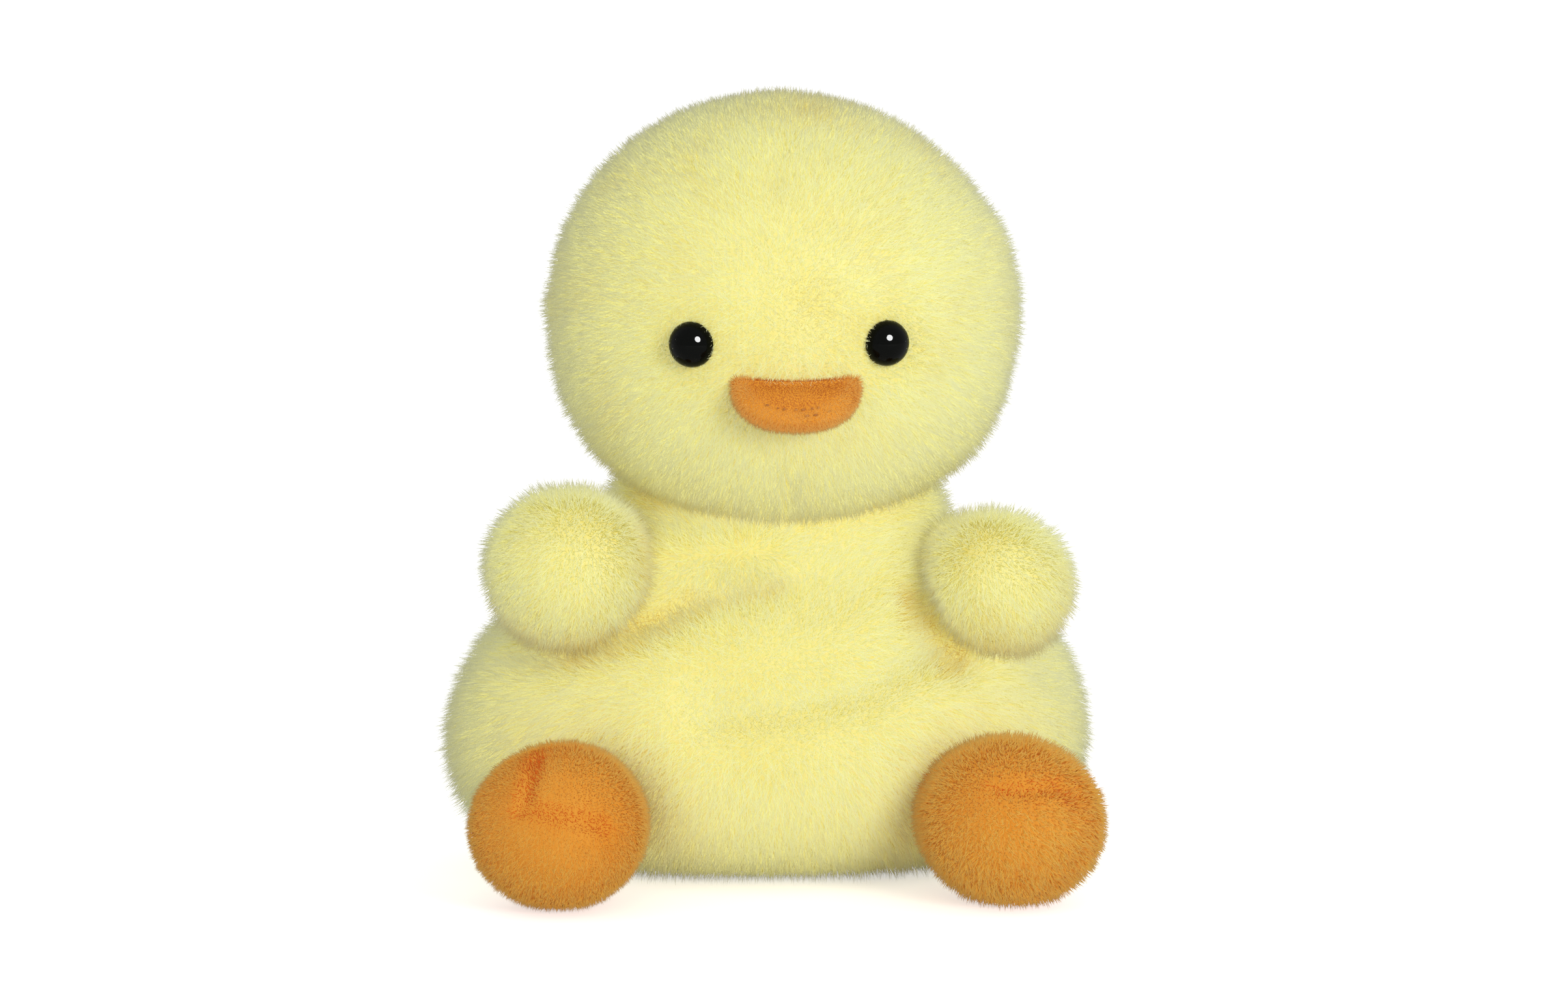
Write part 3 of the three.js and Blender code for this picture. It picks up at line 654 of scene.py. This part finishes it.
def beakPad():
    root, ahead = beakSettings["root"], beakSettings["ahead"]
    bm = bmesh.new()
    addBall(bm, *beakSettings["segments"], Matrix())
    for vertex in bm.verts:
        vertex.co = padPoint(*vertex.co)
    bmesh.ops.bisect_plane(bm, geom=bm.verts[:] + bm.edges[:] + bm.faces[:], dist=1e-7, plane_no=ahead,
                           plane_co=root - ahead * beakSettings["behind"], clear_inner=True)
    cap = bmesh.ops.holes_fill(bm, edges=[edge for edge in bm.edges if edge.is_boundary])["faces"]
    bmesh.ops.poke(bm, faces=cap)
    bmesh.ops.recalc_face_normals(bm, faces=bm.faces)
    for vertex in bm.verts:                              # the edge at the head dips at its middle
        out = vertex.co - root
        fade = min(1.0, max(0.0, 1 - out.dot(ahead) / beakSettings["dipFade"]))
        middling = max(0.0, 1 - (out.x / beakSettings["halfWidth"]) ** 2)
        vertex.co += ahead * beakSettings["dip"] * fade * middling
    return meshObject("beakForm", bm)


beakForm = beakPad()
forms = {"head": headForm, "torso": bodyForm, "beak": beakForm, **limbForms}
surfaces = {name: surfaceOf(form) for name, form in forms.items()}

# How the pile lies: each rule gives a point of the skin the lean, length, ruffle and tint of its fibres, the
# tint carrying painted shade where forms meet, under parts and in folds

meetSettings = {"inside": 8 * mm, "buried": 3.5 * mm, "pressed": 1.0 * mm, "free": 5.0 * mm,
                "floorGap": 0.2 * mm, "floorShare": 0.97, "floorLeast": 0.5 * mm}


def room(point, others):    # clear space over a point, below 0 inside the next form
    space = 1.0
    for name in others:
        near, normal, _, distance = surfaces[name].find_nearest(point)
        if near is not None:
            inside = distance < meetSettings["inside"] and (point - near).dot(normal) < 0
            space = min(space, -distance if inside else distance)
    return space


def pileHeight(point, normal, lean, length, others, least):    # shorter over the floor and where forms meet
    space = room(point, others)
    if space < -meetSettings["buried"]:
        return 0.0, space
    share = min(1.0, max(least, (space + meetSettings["pressed"]) / meetSettings["free"]))
    way = (normal + lean).normalized()
    if way.z < 0:
        clear = meetSettings["floorShare"] * (point.z - meetSettings["floorGap"]) / -way.z
        length = min(length, max(meetSettings["floorLeast"], clear))
    return length * share, space


def met(space, reach):    # 1 where forms touch, fading with the space between them; it weights the painted shade where forms meet
    return math.exp(-max(0.0, space) / reach)


def radial(point, normal, fur):    # upright at the parting, laid over and hanging further out
    away = point - fur["partAt"]
    share = min(1.0, away.length / fur["calm"]) ** fur["layPower"]
    pull = (away.normalized() * fur["lean"] + Vector((0, 0, -fur["drop"]))) * share
    return pull - normal * pull.dot(normal)


def eyeLine(side):                                       # an eye's middle, and the way it faces
    eye, washer = ([v.co for v in nodes[f"{side}_{name}"].data.vertices] for name in ("eye", "eye_washer"))
    middle, behind = (sum(points, Vector()) / len(points) for points in (eye, washer))
    return middle, (middle - behind).normalized()


eyeLines = {side: eyeLine(side) for side in sides}
headFur = {
    "length": 4.6 * mm, "least": 0.6, "partAt": headCentre + Vector((0, -34, -6)) * mm, "calm": 46 * mm,
    "layPower": 1.3, "lean": 1.1, "drop": 0.5, "tint": -0.7, "contactShadeReach": 2.2 * mm, "contactShadeTint": 0.7,
    "chinShadeFrom": 0.45, "chinShade": 0.15,
    "seamLean": 0.45, "seamWidth": 1.0 * mm, "seamTop": 116.5 * mm, "topShare": 0.6, "seamChin": 72 * mm,
    "seamFade": 8 * mm,
    "eyeRim": 4.4 * mm, "eyeCrowd": 1.0 * mm, "eyeUpright": 2.6 * mm, "eyeFar": 2.4, "eyeOver": 0.25,
    "farOver": 0.35, "nearShort": 0.5,
    "smoothAt": 88 * mm, "smoothSquash": 0.8, "smoothTo": 8 * mm, "smoothFade": 22 * mm, "smoothest": 0.25,
    "beakReach": 2.5 * mm, "beakShort": 0.45}


def headComb(point, normal):
    lean = radial(point, normal, headFur)
    aside = point.x - headCentre.x
    parted = max(0.0, headFur["topShare"] - abs(point.z - headFur["seamTop"]) / headFur["seamFade"],
                 min(1.0, (headFur["seamChin"] - point.z) / headFur["seamFade"]))
    parted *= headFur["seamLean"] * math.exp(-abs(aside) / headFur["seamWidth"])
    lean.x += math.copysign(parted, aside)               # the nap parts at the face seam
    rimmed = 0.0
    for middle, axis in eyeLines.values() if point.y <= headCentre.y else ():    # it stands up round the eyes
        across = (point - middle) - axis * (point - middle).dot(axis)
        past = across.length - headFur["eyeRim"]
        crowd = math.exp(-(past / headFur["eyeCrowd"]) ** 2)
        upright = math.exp(-(max(0.0, past) / headFur["eyeUpright"]) ** 2)
        far = min(1.0, max(0.0, headFur["eyeFar"] * across.normalized().y))
        rimmed = max(rimmed, upright * (1 - far))        # shorter on the near side
        over = headFur["eyeOver"] + headFur["farOver"] * far    # further over the rim on the far side
        lean = lean * (1 - upright) - across.normalized() * over * crowd
    spread = math.hypot(aside, (point.z - headFur["smoothAt"]) * headFur["smoothSquash"])
    ruffle = min(1.0, max(headFur["smoothest"], (spread - headFur["smoothTo"]) / headFur["smoothFade"]))
    tall, space = pileHeight(point, normal, lean, headFur["length"], ["torso", "left_wing", "right_wing"],
                             headFur["least"])
    nearBeak = max(0.0, room(point, ["beak"])) / headFur["beakReach"]
    middling = max(0.0, 1 - ((point.x - beakSettings["root"].x) / beakSettings["halfWidth"]) ** 2)
    beaked = math.exp(-nearBeak * nearBeak) * headFur["beakShort"] * (1 - middling)    # least at its middle
    tall *= 1 - headFur["nearShort"] * rimmed - beaked
    # painted golden shade where the head meets the body and wings, and on the chin's underside
    tint = headFur["tint"] + headFur["contactShadeTint"] * met(space, headFur["contactShadeReach"])
    return lean, tall, ruffle, tint + headFur["chinShade"] * max(0.0, -normal.z - headFur["chinShadeFrom"])


bodyFur = {
    "length": 5.2 * mm, "least": 0.22, "partAt": Vector((0, -22, 42)) * mm, "calm": 55 * mm,
    "layPower": 1.3, "lean": 1.2, "drop": 0.5, "tint": -0.7, "contactShadeReach": 2.2 * mm, "contactShadeTint": 0.9,
    "smoothTo": 8 * mm, "smoothFade": 26 * mm, "smoothest": 0.3, "seatFrom": 16 * mm, "seatFade": 20 * mm,
    "middleShare": 0.9, "flankShare": 0.25, "flankAt": 45 * mm, "tipAt": 0.7,
    "paintedFoldShades": {"wingHollow": (3.0 * mm, 1.2), "armCrease": (1.8 * mm, 0.6)}}    # how wide, how strong the painted golden shade
foldPaths = {name: [Vector(spot) * mm for spot in fold["path"]] for name, fold in bodyFolds.items()}


def bodyComb(point, normal):
    lean = radial(point, normal, bodyFur)
    flank = max(bodyFur["smoothest"], (abs(point.x) - bodyFur["smoothTo"]) / bodyFur["smoothFade"])
    ruffle = min(1.0, flank + max(0.0, (bodyFur["seatFrom"] - point.z) / bodyFur["seatFade"]))
    length = bodyFur["length"] * (                       # longest at the flanks
        bodyFur["middleShare"] + bodyFur["flankShare"] * min(1.0, abs(point.x) / bodyFur["flankAt"]))
    tall, space = pileHeight(point, normal, lean, length, ["head"] + list(limbForms), bodyFur["least"])
    tip = point + (normal + lean).normalized() * bodyFur["tipAt"] * tall
    # painted golden shade where the body meets other forms, and along the wing's hollow and the arm's crease
    tint = bodyFur["tint"] + bodyFur["contactShadeTint"] * met(space, bodyFur["contactShadeReach"])
    for name, (reach, depth) in bodyFur["paintedFoldShades"].items():
        near = min(pathDistance(spot, foldPaths[name]) for spot in (point, tip))
        tint += depth * math.exp(-(near / reach) ** 2)
    return lean, tall, ruffle, tint


limbFur = {"least": 0.22, "contactShadeTint": 0.9, "underFrom": 0.1, "tipAt": 0.8, "ruffle": 0.8,
           "seamWidth": 1.5 * mm, "seamShort": 0.5, "seamShadeReach": 5 * mm, "seamShadeTint": 0.4}
wingFur = dict(limbFur, length=4.7 * mm, lean=0.8, drop=0.5, tint=-0.7, contactShadeReach=5 * mm, under=0.6, seamTint=0.0)
velourFur = dict(limbFur, lean=0.9, drop=0.3, tint=-0.4, contactShadeReach=2.2 * mm, under=0.0)
footFur = {"left": dict(velourFur, length=2.7 * mm, seamTint=0.35),
           "right": dict(velourFur, length=1.9 * mm, seamTint=1.3)}    # only the right toe seam shows red


def limbComb(name, fur, seams=()):
    root = Vector(joints[f"{name}_swing"]["pos_m"])

    def rule(point, normal):
        away = (point - root).normalized() * fur["lean"] + Vector((0, 0, -fur["drop"]))
        lean = away - normal * away.dot(normal)
        tall, space = pileHeight(point, normal, lean, fur["length"], ["head", "torso"], fur["least"])
        tip = point + (normal + lean).normalized() * fur["tipAt"] * fur["length"]
        apart = min((pathDistance(spot, path) for path in seams for spot in (point, tip)), default=1.0)
        close = math.exp(-(apart / fur["seamWidth"]) ** 2)
        # painted golden shade where a limb meets the head or body, under it, and in a band beside its seam;
        # the seam line's own red is seamTint
        tint = fur["tint"] + fur["contactShadeTint"] * met(space, fur["contactShadeReach"])
        tint += fur["under"] * max(0.0, -normal.z - fur["underFrom"])
        tint += fur["seamTint"] * close + fur["seamShadeTint"] * math.exp(-(apart / fur["seamShadeReach"]) ** 2)
        return lean * (1 - close), tall * (1 - fur["seamShort"] * close), fur["ruffle"], tint
    return rule


beakFur = {"length": 0.9 * mm, "rimLength": 1.4 * mm, "rimFrom": 0.65, "rimOver": 0.2, "lean": 1.0, "fan": 30,
           "rimUpright": 0.6, "ruffle": 0.2, "rimRuffle": 0.8, "tint": 0.4, "rimTint": -0.8}


def beakComb(point, normal):    # flat on the face of the pad, standing up round its rim
    fan = Vector(((point.x - headCentre.x) * beakFur["fan"], 0, 0))
    away = (beakSettings["ahead"] + fan) * beakFur["lean"]
    lean = away - normal * away.dot(normal)
    out = point - beakSettings["root"]
    rim = math.hypot(out.x / beakSettings["halfWidth"],
                     out.dot(beakSettings["ahead"]) / beakSettings["reach"])
    share = min(1.0, max(0.0, (rim - beakFur["rimFrom"]) / beakFur["rimOver"]))
    return (lean * (1 - beakFur["rimUpright"] * share),
            beakFur["length"] * (1 - share) + beakFur["rimLength"] * share,
            beakFur["ruffle"] + beakFur["rimRuffle"] * share, beakFur["tint"] + beakFur["rimTint"] * share)


# Panels: a sewn skin for each, and the pile on it

backingThickness = 0.9 * mm
plushGrowth = {"perSquareMm": 9.0, "seed": 11, "width": 0.18 * mm, "shortest": 0.55,
               "tuftSize": 4 * mm, "tuft": 0.9, "stray": 0.55, "toneSpread": 0.25, "cloudSize": 14 * mm,
               "roundness": (0.8, 6.0)}                  # of the shading, front on and side on
bodyGrowth = dict(plushGrowth, perSquareMm=8.0)
seatGrowth = dict(plushGrowth, perSquareMm=3.0)
wingGrowth = dict(plushGrowth, roundness=(2.5, 8.0))
velourGrowth = {"perSquareMm": 9.0, "seed": 41, "width": 0.18 * mm, "shortest": 0.6,
                "tuftSize": 3 * mm, "tuft": 0.8, "stray": 0.4, "toneSpread": 0.3, "cloudSize": 7 * mm,
                "roundness": (2.0, 8.0)}
footGrowth = {                                           # the left foot is shaggier
    "left": dict(velourGrowth, perSquareMm=7.0, width=0.26 * mm, toneSpread=0.45, tuft=1.0),
    "right": velourGrowth}
beakGrowth = dict(velourGrowth, perSquareMm=30.0, width=0.16 * mm, seed=71)


def dressPanel(form, node, body, cuts, rule, growth, pileLook, backing, halves=None):
    sheet = panelSheet(form, node.replace("_panel", "_skin"), cuts)
    combSheet(sheet, rule)
    for tail, cut in (halves or {"": None}).items():     # a large panel's pile is made in two halves
        part = panelSheet(sheet, "half", [cut]) if cut else sheet
        pile = growPile(part, node.replace("_panel", "_pile") + tail, growth, pileLook)
        pile.visible_shadow = pile.visible_diffuse = False    # light passes between real fibres
        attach(pile, body)
        if cut:
            bpy.data.objects.remove(part)
    sewnPanel(sheet, node, body, backing, backingThickness)


backAt = (0, headSettings["backSeam"], 0)
sideAt = (0, bodySettings["sideSeam"], 0)
seatAt = (0, 0, bodySettings["seatSeam"])
topAt = (0, 0, bodySettings["top"])
bodyHalves = {"_left": ((0, 0, 0), acrossWay, True), "_right": ((0, 0, 0), acrossWay, False)}
headPanels = {
    "head_left_panel": [(headCentre, acrossWay, True), (backAt, backWay, False)],
    "head_right_panel": [(headCentre, acrossWay, False), (backAt, backWay, False)],
    "head_back_panel": [(backAt, backWay, True)]}
for node, cuts in headPanels.items():
    dressPanel(headForm, node, "head", cuts, headComb, plushGrowth, plushPile, plushBacking)
bodyPanels = {
    "body_front_panel": ([(seatAt, upWay, True), (sideAt, backWay, False), (topAt, upWay, False)],
                         bodyGrowth, bodyHalves),
    "body_back_panel": ([(seatAt, upWay, True), (sideAt, backWay, True), (topAt, upWay, False)],
                        bodyGrowth, bodyHalves),
    "body_seat_panel": ([(seatAt, upWay, False)], seatGrowth, None)}
for node, (cuts, growth, halves) in bodyPanels.items():
    dressPanel(bodyForm, node, "torso", cuts, bodyComb, growth, plushPile, plushBacking,
               halves)
for side in sides:
    at, along = jointPlane(f"{side}_wing_swing")
    frontFar = along.y < 0
    for part, far in (("front", frontFar), ("back", not frontFar)):
        dressPanel(limbForms[f"{side}_wing"], f"{side}_wing_{part}_panel", f"{side}_wing", [(at, along, far)],
                   limbComb(f"{side}_wing", wingFur), wingGrowth, plushPile, plushBacking)
    for part, far in (("upper", True), ("sole", False)):
        dressPanel(limbForms[f"{side}_foot"], f"{side}_foot_{part}_panel", f"{side}_foot",
                   [(toeAt, upWay, far)], limbComb(f"{side}_foot", footFur[side], footSeams[side]),
                   footGrowth[side], velourPile, velourBacking)

# Fillings, a little inside their covers, and the beak's panels with its own

fillSettings = {"gap": 1.6 * mm, "lump": 1.2 * mm, "lumpSize": 9 * mm, "shrink": 1.0}
beakFillSettings = dict(fillSettings, gap=0.0, lump=0.1 * mm, shrink=0.6)


def stuffing(form, node, body, settings):
    fill = form.copy()
    fill.data = form.data.copy()
    middle = sum((v.co for v in fill.data.vertices), Vector()) / len(fill.data.vertices)
    fill.data.transform(Matrix.Translation(middle) @ Matrix.Scale(settings["shrink"], 4)
                        @ Matrix.Translation(-middle))
    fill.name = node.replace("_stuffing", "_fibrefill")
    scene.collection.objects.link(fill)
    lumps = bpy.data.textures.new(node, "CLOUDS")
    lumps.noise_scale = settings["lumpSize"]
    inside = fill.modifiers.new("inside", "DISPLACE")
    inside.strength, inside.mid_level = -settings["gap"], 0.0
    lumpy = fill.modifiers.new("lumpy", "DISPLACE")
    lumpy.texture, lumpy.texture_coords = lumps, "LOCAL"
    lumpy.strength, lumpy.mid_level = settings["lump"], 1.0
    settled(fill)
    reclad(fill, fibrefill)
    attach(fill, body)
    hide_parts(node)


stuffing(headForm, "head_stuffing", "head", fillSettings)
stuffing(bodyForm, "body_stuffing", "torso", fillSettings)
for name, form in limbForms.items():
    stuffing(form, f"{name}_stuffing", name, fillSettings)
for part, far in (("upper", True), ("lower", False)):
    dressPanel(beakForm, f"beak_{part}_panel", "head", [(beakSettings["root"], beakSettings["up"], far)],
               beakComb, beakGrowth, beakVelour, beakBacking)
stuffing(beakForm, "beak_stuffing", "head", beakFillSettings)
print("fillings:", len(limbForms) + 3)

# Stitches: two short rows on the beak's upper face, near its rim

stitchSettings = {
    "rows": {0.78: (7, -34, 26), 0.9: (3, 8, 30)},    # share of the way to the rim: count, angles from and to
    "half": (0.3 * mm, 0.18 * mm, 0.16 * mm), "lift": 0.45 * mm, "seed": 3, "shake": 0.35, "vary": (0.6, 1.3),
    "lookAhead": 0.05, "segments": (10, 6)}


def rimStitches():
    shake = random.Random(stitchSettings["seed"])
    up = beakSettings["up"]
    bm = bmesh.new()
    for rim, (count, start, end) in stitchSettings["rows"].items():
        for step in range(count):
            off = shake.uniform(-stitchSettings["shake"], stitchSettings["shake"])
            turn = math.radians(start + (end - start) * (step + off) / (count - 1))
            here, beyond = (padPoint(rim * math.sin(a), rim * math.cos(a), math.sqrt(1 - rim * rim))
                            for a in (turn, turn + stitchSettings["lookAhead"]))
            along = (beyond - here).normalized()
            aside = up.cross(along).normalized()
            turned = Matrix((along, aside, along.cross(aside))).transposed().to_4x4()
            place = Matrix.Translation(here + up * stitchSettings["lift"]) @ turned
            half = [reach * shake.uniform(*stitchSettings["vary"]) for reach in stitchSettings["half"]]
            addBall(bm, *stitchSettings["segments"], place @ Matrix.Diagonal(half + [1]))
    stitches = meshObject("beak_rim_stitches", bm)
    stitches.data.materials.append(brownThread)
    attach(stitches, "head")


rimStitches()

# Eyes: domed buttons, turned from a profile of the dome, its rounded edge, its back and its shank

eyeSettings = {"radius": 3.7 * mm, "dome": 3.4 * mm, "edge": 0.35 * mm, "edgeIn": 0.2, "edgeDown": 0.7,
               "shank": 1.1 * mm, "shankLength": 6.5 * mm, "arcSteps": 14, "turnSteps": 56}
eyes = bpy.data.collections.new("eyes")


def eyeButton(side):
    middle, axis = eyeLines[side]
    top = max((v.co - middle).dot(axis) for v in nodes[f"{side}_eye"].data.vertices)
    base = middle + axis * (top - eyeSettings["dome"])
    radius, edge, shank, length = (eyeSettings[key] for key in ("radius", "edge", "shank", "shankLength"))
    steps = eyeSettings["arcSteps"]
    arc = [(math.pi / 2) * i / steps for i in range(steps + 1)]
    profile = [(radius * math.cos(a), eyeSettings["dome"] * math.sin(a)) for a in reversed(arc)]
    profile += [(radius - eyeSettings["edgeIn"] * edge, -eyeSettings["edgeDown"] * edge),
                (radius - edge, -edge), (shank, -edge), (shank, -length), (0, -length)]
    bm = bmesh.new()
    ring = [bm.verts.new((r, 0, h)) for r, h in profile]
    for one, two in zip(ring, ring[1:]):
        bm.edges.new((one, two))
    bmesh.ops.spin(bm, geom=bm.verts[:] + bm.edges[:], axis=upWay, cent=(0, 0, 0), angle=2 * math.pi,
                   steps=eyeSettings["turnSteps"], use_merge=True, use_duplicate=False)
    bmesh.ops.remove_doubles(bm, verts=bm.verts, dist=0.005 * mm)
    bmesh.ops.recalc_face_normals(bm, faces=bm.faces)
    facing = axis.to_track_quat("Z", "Y").to_matrix().to_4x4()
    bmesh.ops.transform(bm, verts=bm.verts, matrix=Matrix.Translation(base) @ facing)
    eye = meshObject(f"{side}_eye_button", bm)
    eye.data.materials.append(eyeBlack)
    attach(eye, "head")
    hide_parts(f"{side}_eye")
    eyes.objects.link(eye)


for side in sides:
    eyeButton(side)
    reclad(nodes[f"{side}_eye_washer"], washerWhite)
reclad(nodes["neck_thread"], yellowThread)

# Bean pouch on the seat: two lining panels and the pellets in them

pouchSettings = {
    "nodes": ["bean_pouch_upper", "bean_pouch_lower", "bean_filling"], "voxel": 2.4 * mm, "relax": 3,
    "inset": 0.9 * mm, "hold": 2 * mm, "pressure": 200.0, "cap": 0.7 * mm, "wall": 0.7 * mm}
pelletSettings = {
    "radius": 1.7 * mm, "spacing": 3.5 * mm, "rowStep": 0.87, "layerStep": 0.82, "clear": 0.3 * mm,
    "shake": 0.03, "seed": 5}
upperBox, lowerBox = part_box("bean_pouch_upper"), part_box("bean_pouch_lower")
pouchAt = Vector((0, 0, (upperBox[0].z + lowerBox[1].z) / 2))
pouchSettings["seams"] = [(pouchAt, upWay)]
pouchForm = stuffedForm("pouchForm", pouchSettings)


def pellets():    # a seeded heap in staggered rows, each a little off its place
    shake = random.Random(pelletSettings["seed"])
    inside = surfaceOf(pouchForm)
    low, high = Vector(pouchForm.bound_box[0]), Vector(pouchForm.bound_box[6])
    step, off = pelletSettings["spacing"], pelletSettings["shake"]
    rowStep, layerStep = step * pelletSettings["rowStep"], step * pelletSettings["layerStep"]
    depth = pelletSettings["radius"] + pouchSettings["wall"] + pelletSettings["clear"]
    bm = bmesh.new()
    for k in range(int((high.z - low.z) / layerStep)):
        for j in range(int((high.y - low.y) / rowStep)):
            for i in range(int((high.x - low.x) / step)):
                spot = low + Vector(((i + 0.5 * ((j + k) % 2)) * step, j * rowStep, k * layerStep))
                near, normal, _, distance = inside.find_nearest(spot)
                if (spot - near).dot(normal) < 0 and distance > depth:
                    spot += Vector([shake.uniform(-off, off) * step for _ in range(3)])
                    bmesh.ops.create_icosphere(bm, subdivisions=1, radius=pelletSettings["radius"],
                                               matrix=Matrix.Translation(spot))
    heap = meshObject("bean_pellets", bm)
    heap.data.materials.append(pelletMilk)
    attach(heap, "torso")
    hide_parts("bean_filling")
    print("pellets", len(heap.data.polygons) // 20)


pellets()
for part, far in (("upper", True), ("lower", False)):
    lining = panelSheet(pouchForm, f"bean_pouch_{part}_lining", [(pouchAt, upWay, far)])
    sewnPanel(lining, f"bean_pouch_{part}", "torso", liningCotton,
              pouchSettings["wall"])
for spare in [*forms.values(), pouchForm, strand]:       # only their copies and panels are shown
    bpy.data.objects.remove(spare)

# Stage, light and camera

stageSettings = {"floorSize": 6.0, "floorColour": "#f4f4f2", "floorLift": 0.5, "shown": 1.0, "bounced": 0.7,
                 "distance": 2.095, "azimuth": -3.3, "elevation": 8.0, "aim": Vector((2.3, 0, 62.1)) * mm,
                 "lens": 300.0}
white = [1, 1, 1, 1]


def seenRays(tree):    # 1 where the eye sees a thing straight, mirrored or through
    rays = addNode(tree, "ShaderNodeLightPath")
    seen = rays.outputs["Is Camera Ray"]
    for kind in ("Is Glossy Ray", "Is Transmission Ray"):
        seen = made(addNode(tree, "ShaderNodeMath", {"operation": "MAXIMUM"},
                            {0: seen, 1: rays.outputs[kind]}))
    return seen


# Seamless paper: matt and off-white, lifted to plain white where it is seen, though it bounces no more light
def studioFloor():
    bm = bmesh.new()
    bmesh.ops.create_grid(bm, x_segments=1, y_segments=1, size=stageSettings["floorSize"] / 2)
    floor = meshObject("studio_floor", bm)
    material, tree, shader = newMaterial("seamlessPaper")
    lift = addNode(tree, "ShaderNodeMath", {"operation": "MULTIPLY", 1: stageSettings["floorLift"]},
                   {0: seenRays(tree)})
    setShader(tree, shader, {"Base Color": linear(stageSettings["floorColour"]), "Roughness": 0.9,
                             "Specular IOR Level": 0.1, "Emission Color": white}, {"Emission Strength": lift})
    floor.data.materials.append(material)


def studioWorld():                                       # white where it is seen, a softer light on the toy
    world = bpy.data.worlds.new("studioWorld")
    scene.world = world
    world.use_nodes = True
    tree = world.node_tree
    tree.nodes.clear()
    shown, bounced = (addNode(tree, "ShaderNodeBackground", {"Color": white, "Strength": stageSettings[key]})
                      for key in ("shown", "bounced"))
    mix = addNode(tree, "ShaderNodeMixShader", None, {0: seenRays(tree), 1: made(bounced), 2: made(shown)})
    addNode(tree, "ShaderNodeOutputWorld", None, {"Surface": made(mix)})


lampSettings = {
    "keyLight": {"place": (0.6, -1.1, 0.5), "aim": (0, 0, 0.06), "size": 0.5, "power": 6.9},
    "frontFill": {"place": (-0.45, -1.1, 0.16), "aim": (0, 0, 0.06), "size": 0.5, "power": 1.9},
    "catchLight": {"place": (0.52, -1.28, 0.8), "aim": (0, 0, 0.08), "size": 0.75, "power": 300.0,
                   "only": eyes}}


def lamp(name, settings):
    light = bpy.data.lights.new(name, "AREA")
    light.shape, light.size, light.energy = "DISK", settings["size"], settings["power"]
    obj = bpy.data.objects.new(name, light)
    obj.location = settings["place"]
    way = Vector(settings["aim"]) - Vector(settings["place"])
    obj.rotation_euler = way.to_track_quat("-Z", "Y").to_euler()
    obj.visible_glossy = "only" in settings              # only the card shows as a spark
    if "only" in settings:                               # a card of light held to the eyes alone
        obj.light_linking.receiver_collection = settings["only"]
        obj.visible_diffuse = False
    scene.collection.objects.link(obj)


studioFloor()
studioWorld()
for name, settings in lampSettings.items():
    lamp(name, settings)
cameraData = bpy.data.cameras.new("photoCamera")
cameraData.lens = stageSettings["lens"]
camera = bpy.data.objects.new("photoCamera", cameraData)
turn, rise = math.radians(stageSettings["azimuth"]), math.radians(stageSettings["elevation"])
away = Vector((math.sin(turn) * math.cos(rise), -math.cos(turn) * math.cos(rise), math.sin(rise)))
camera.location = stageSettings["aim"] + away * stageSettings["distance"]
camera.rotation_euler = (-away).to_track_quat("-Z", "Y").to_euler()
scene.collection.objects.link(camera)
scene.camera = camera
scene.view_settings.view_transform = "Standard"
print("stage:", len(lampSettings), "lamps")
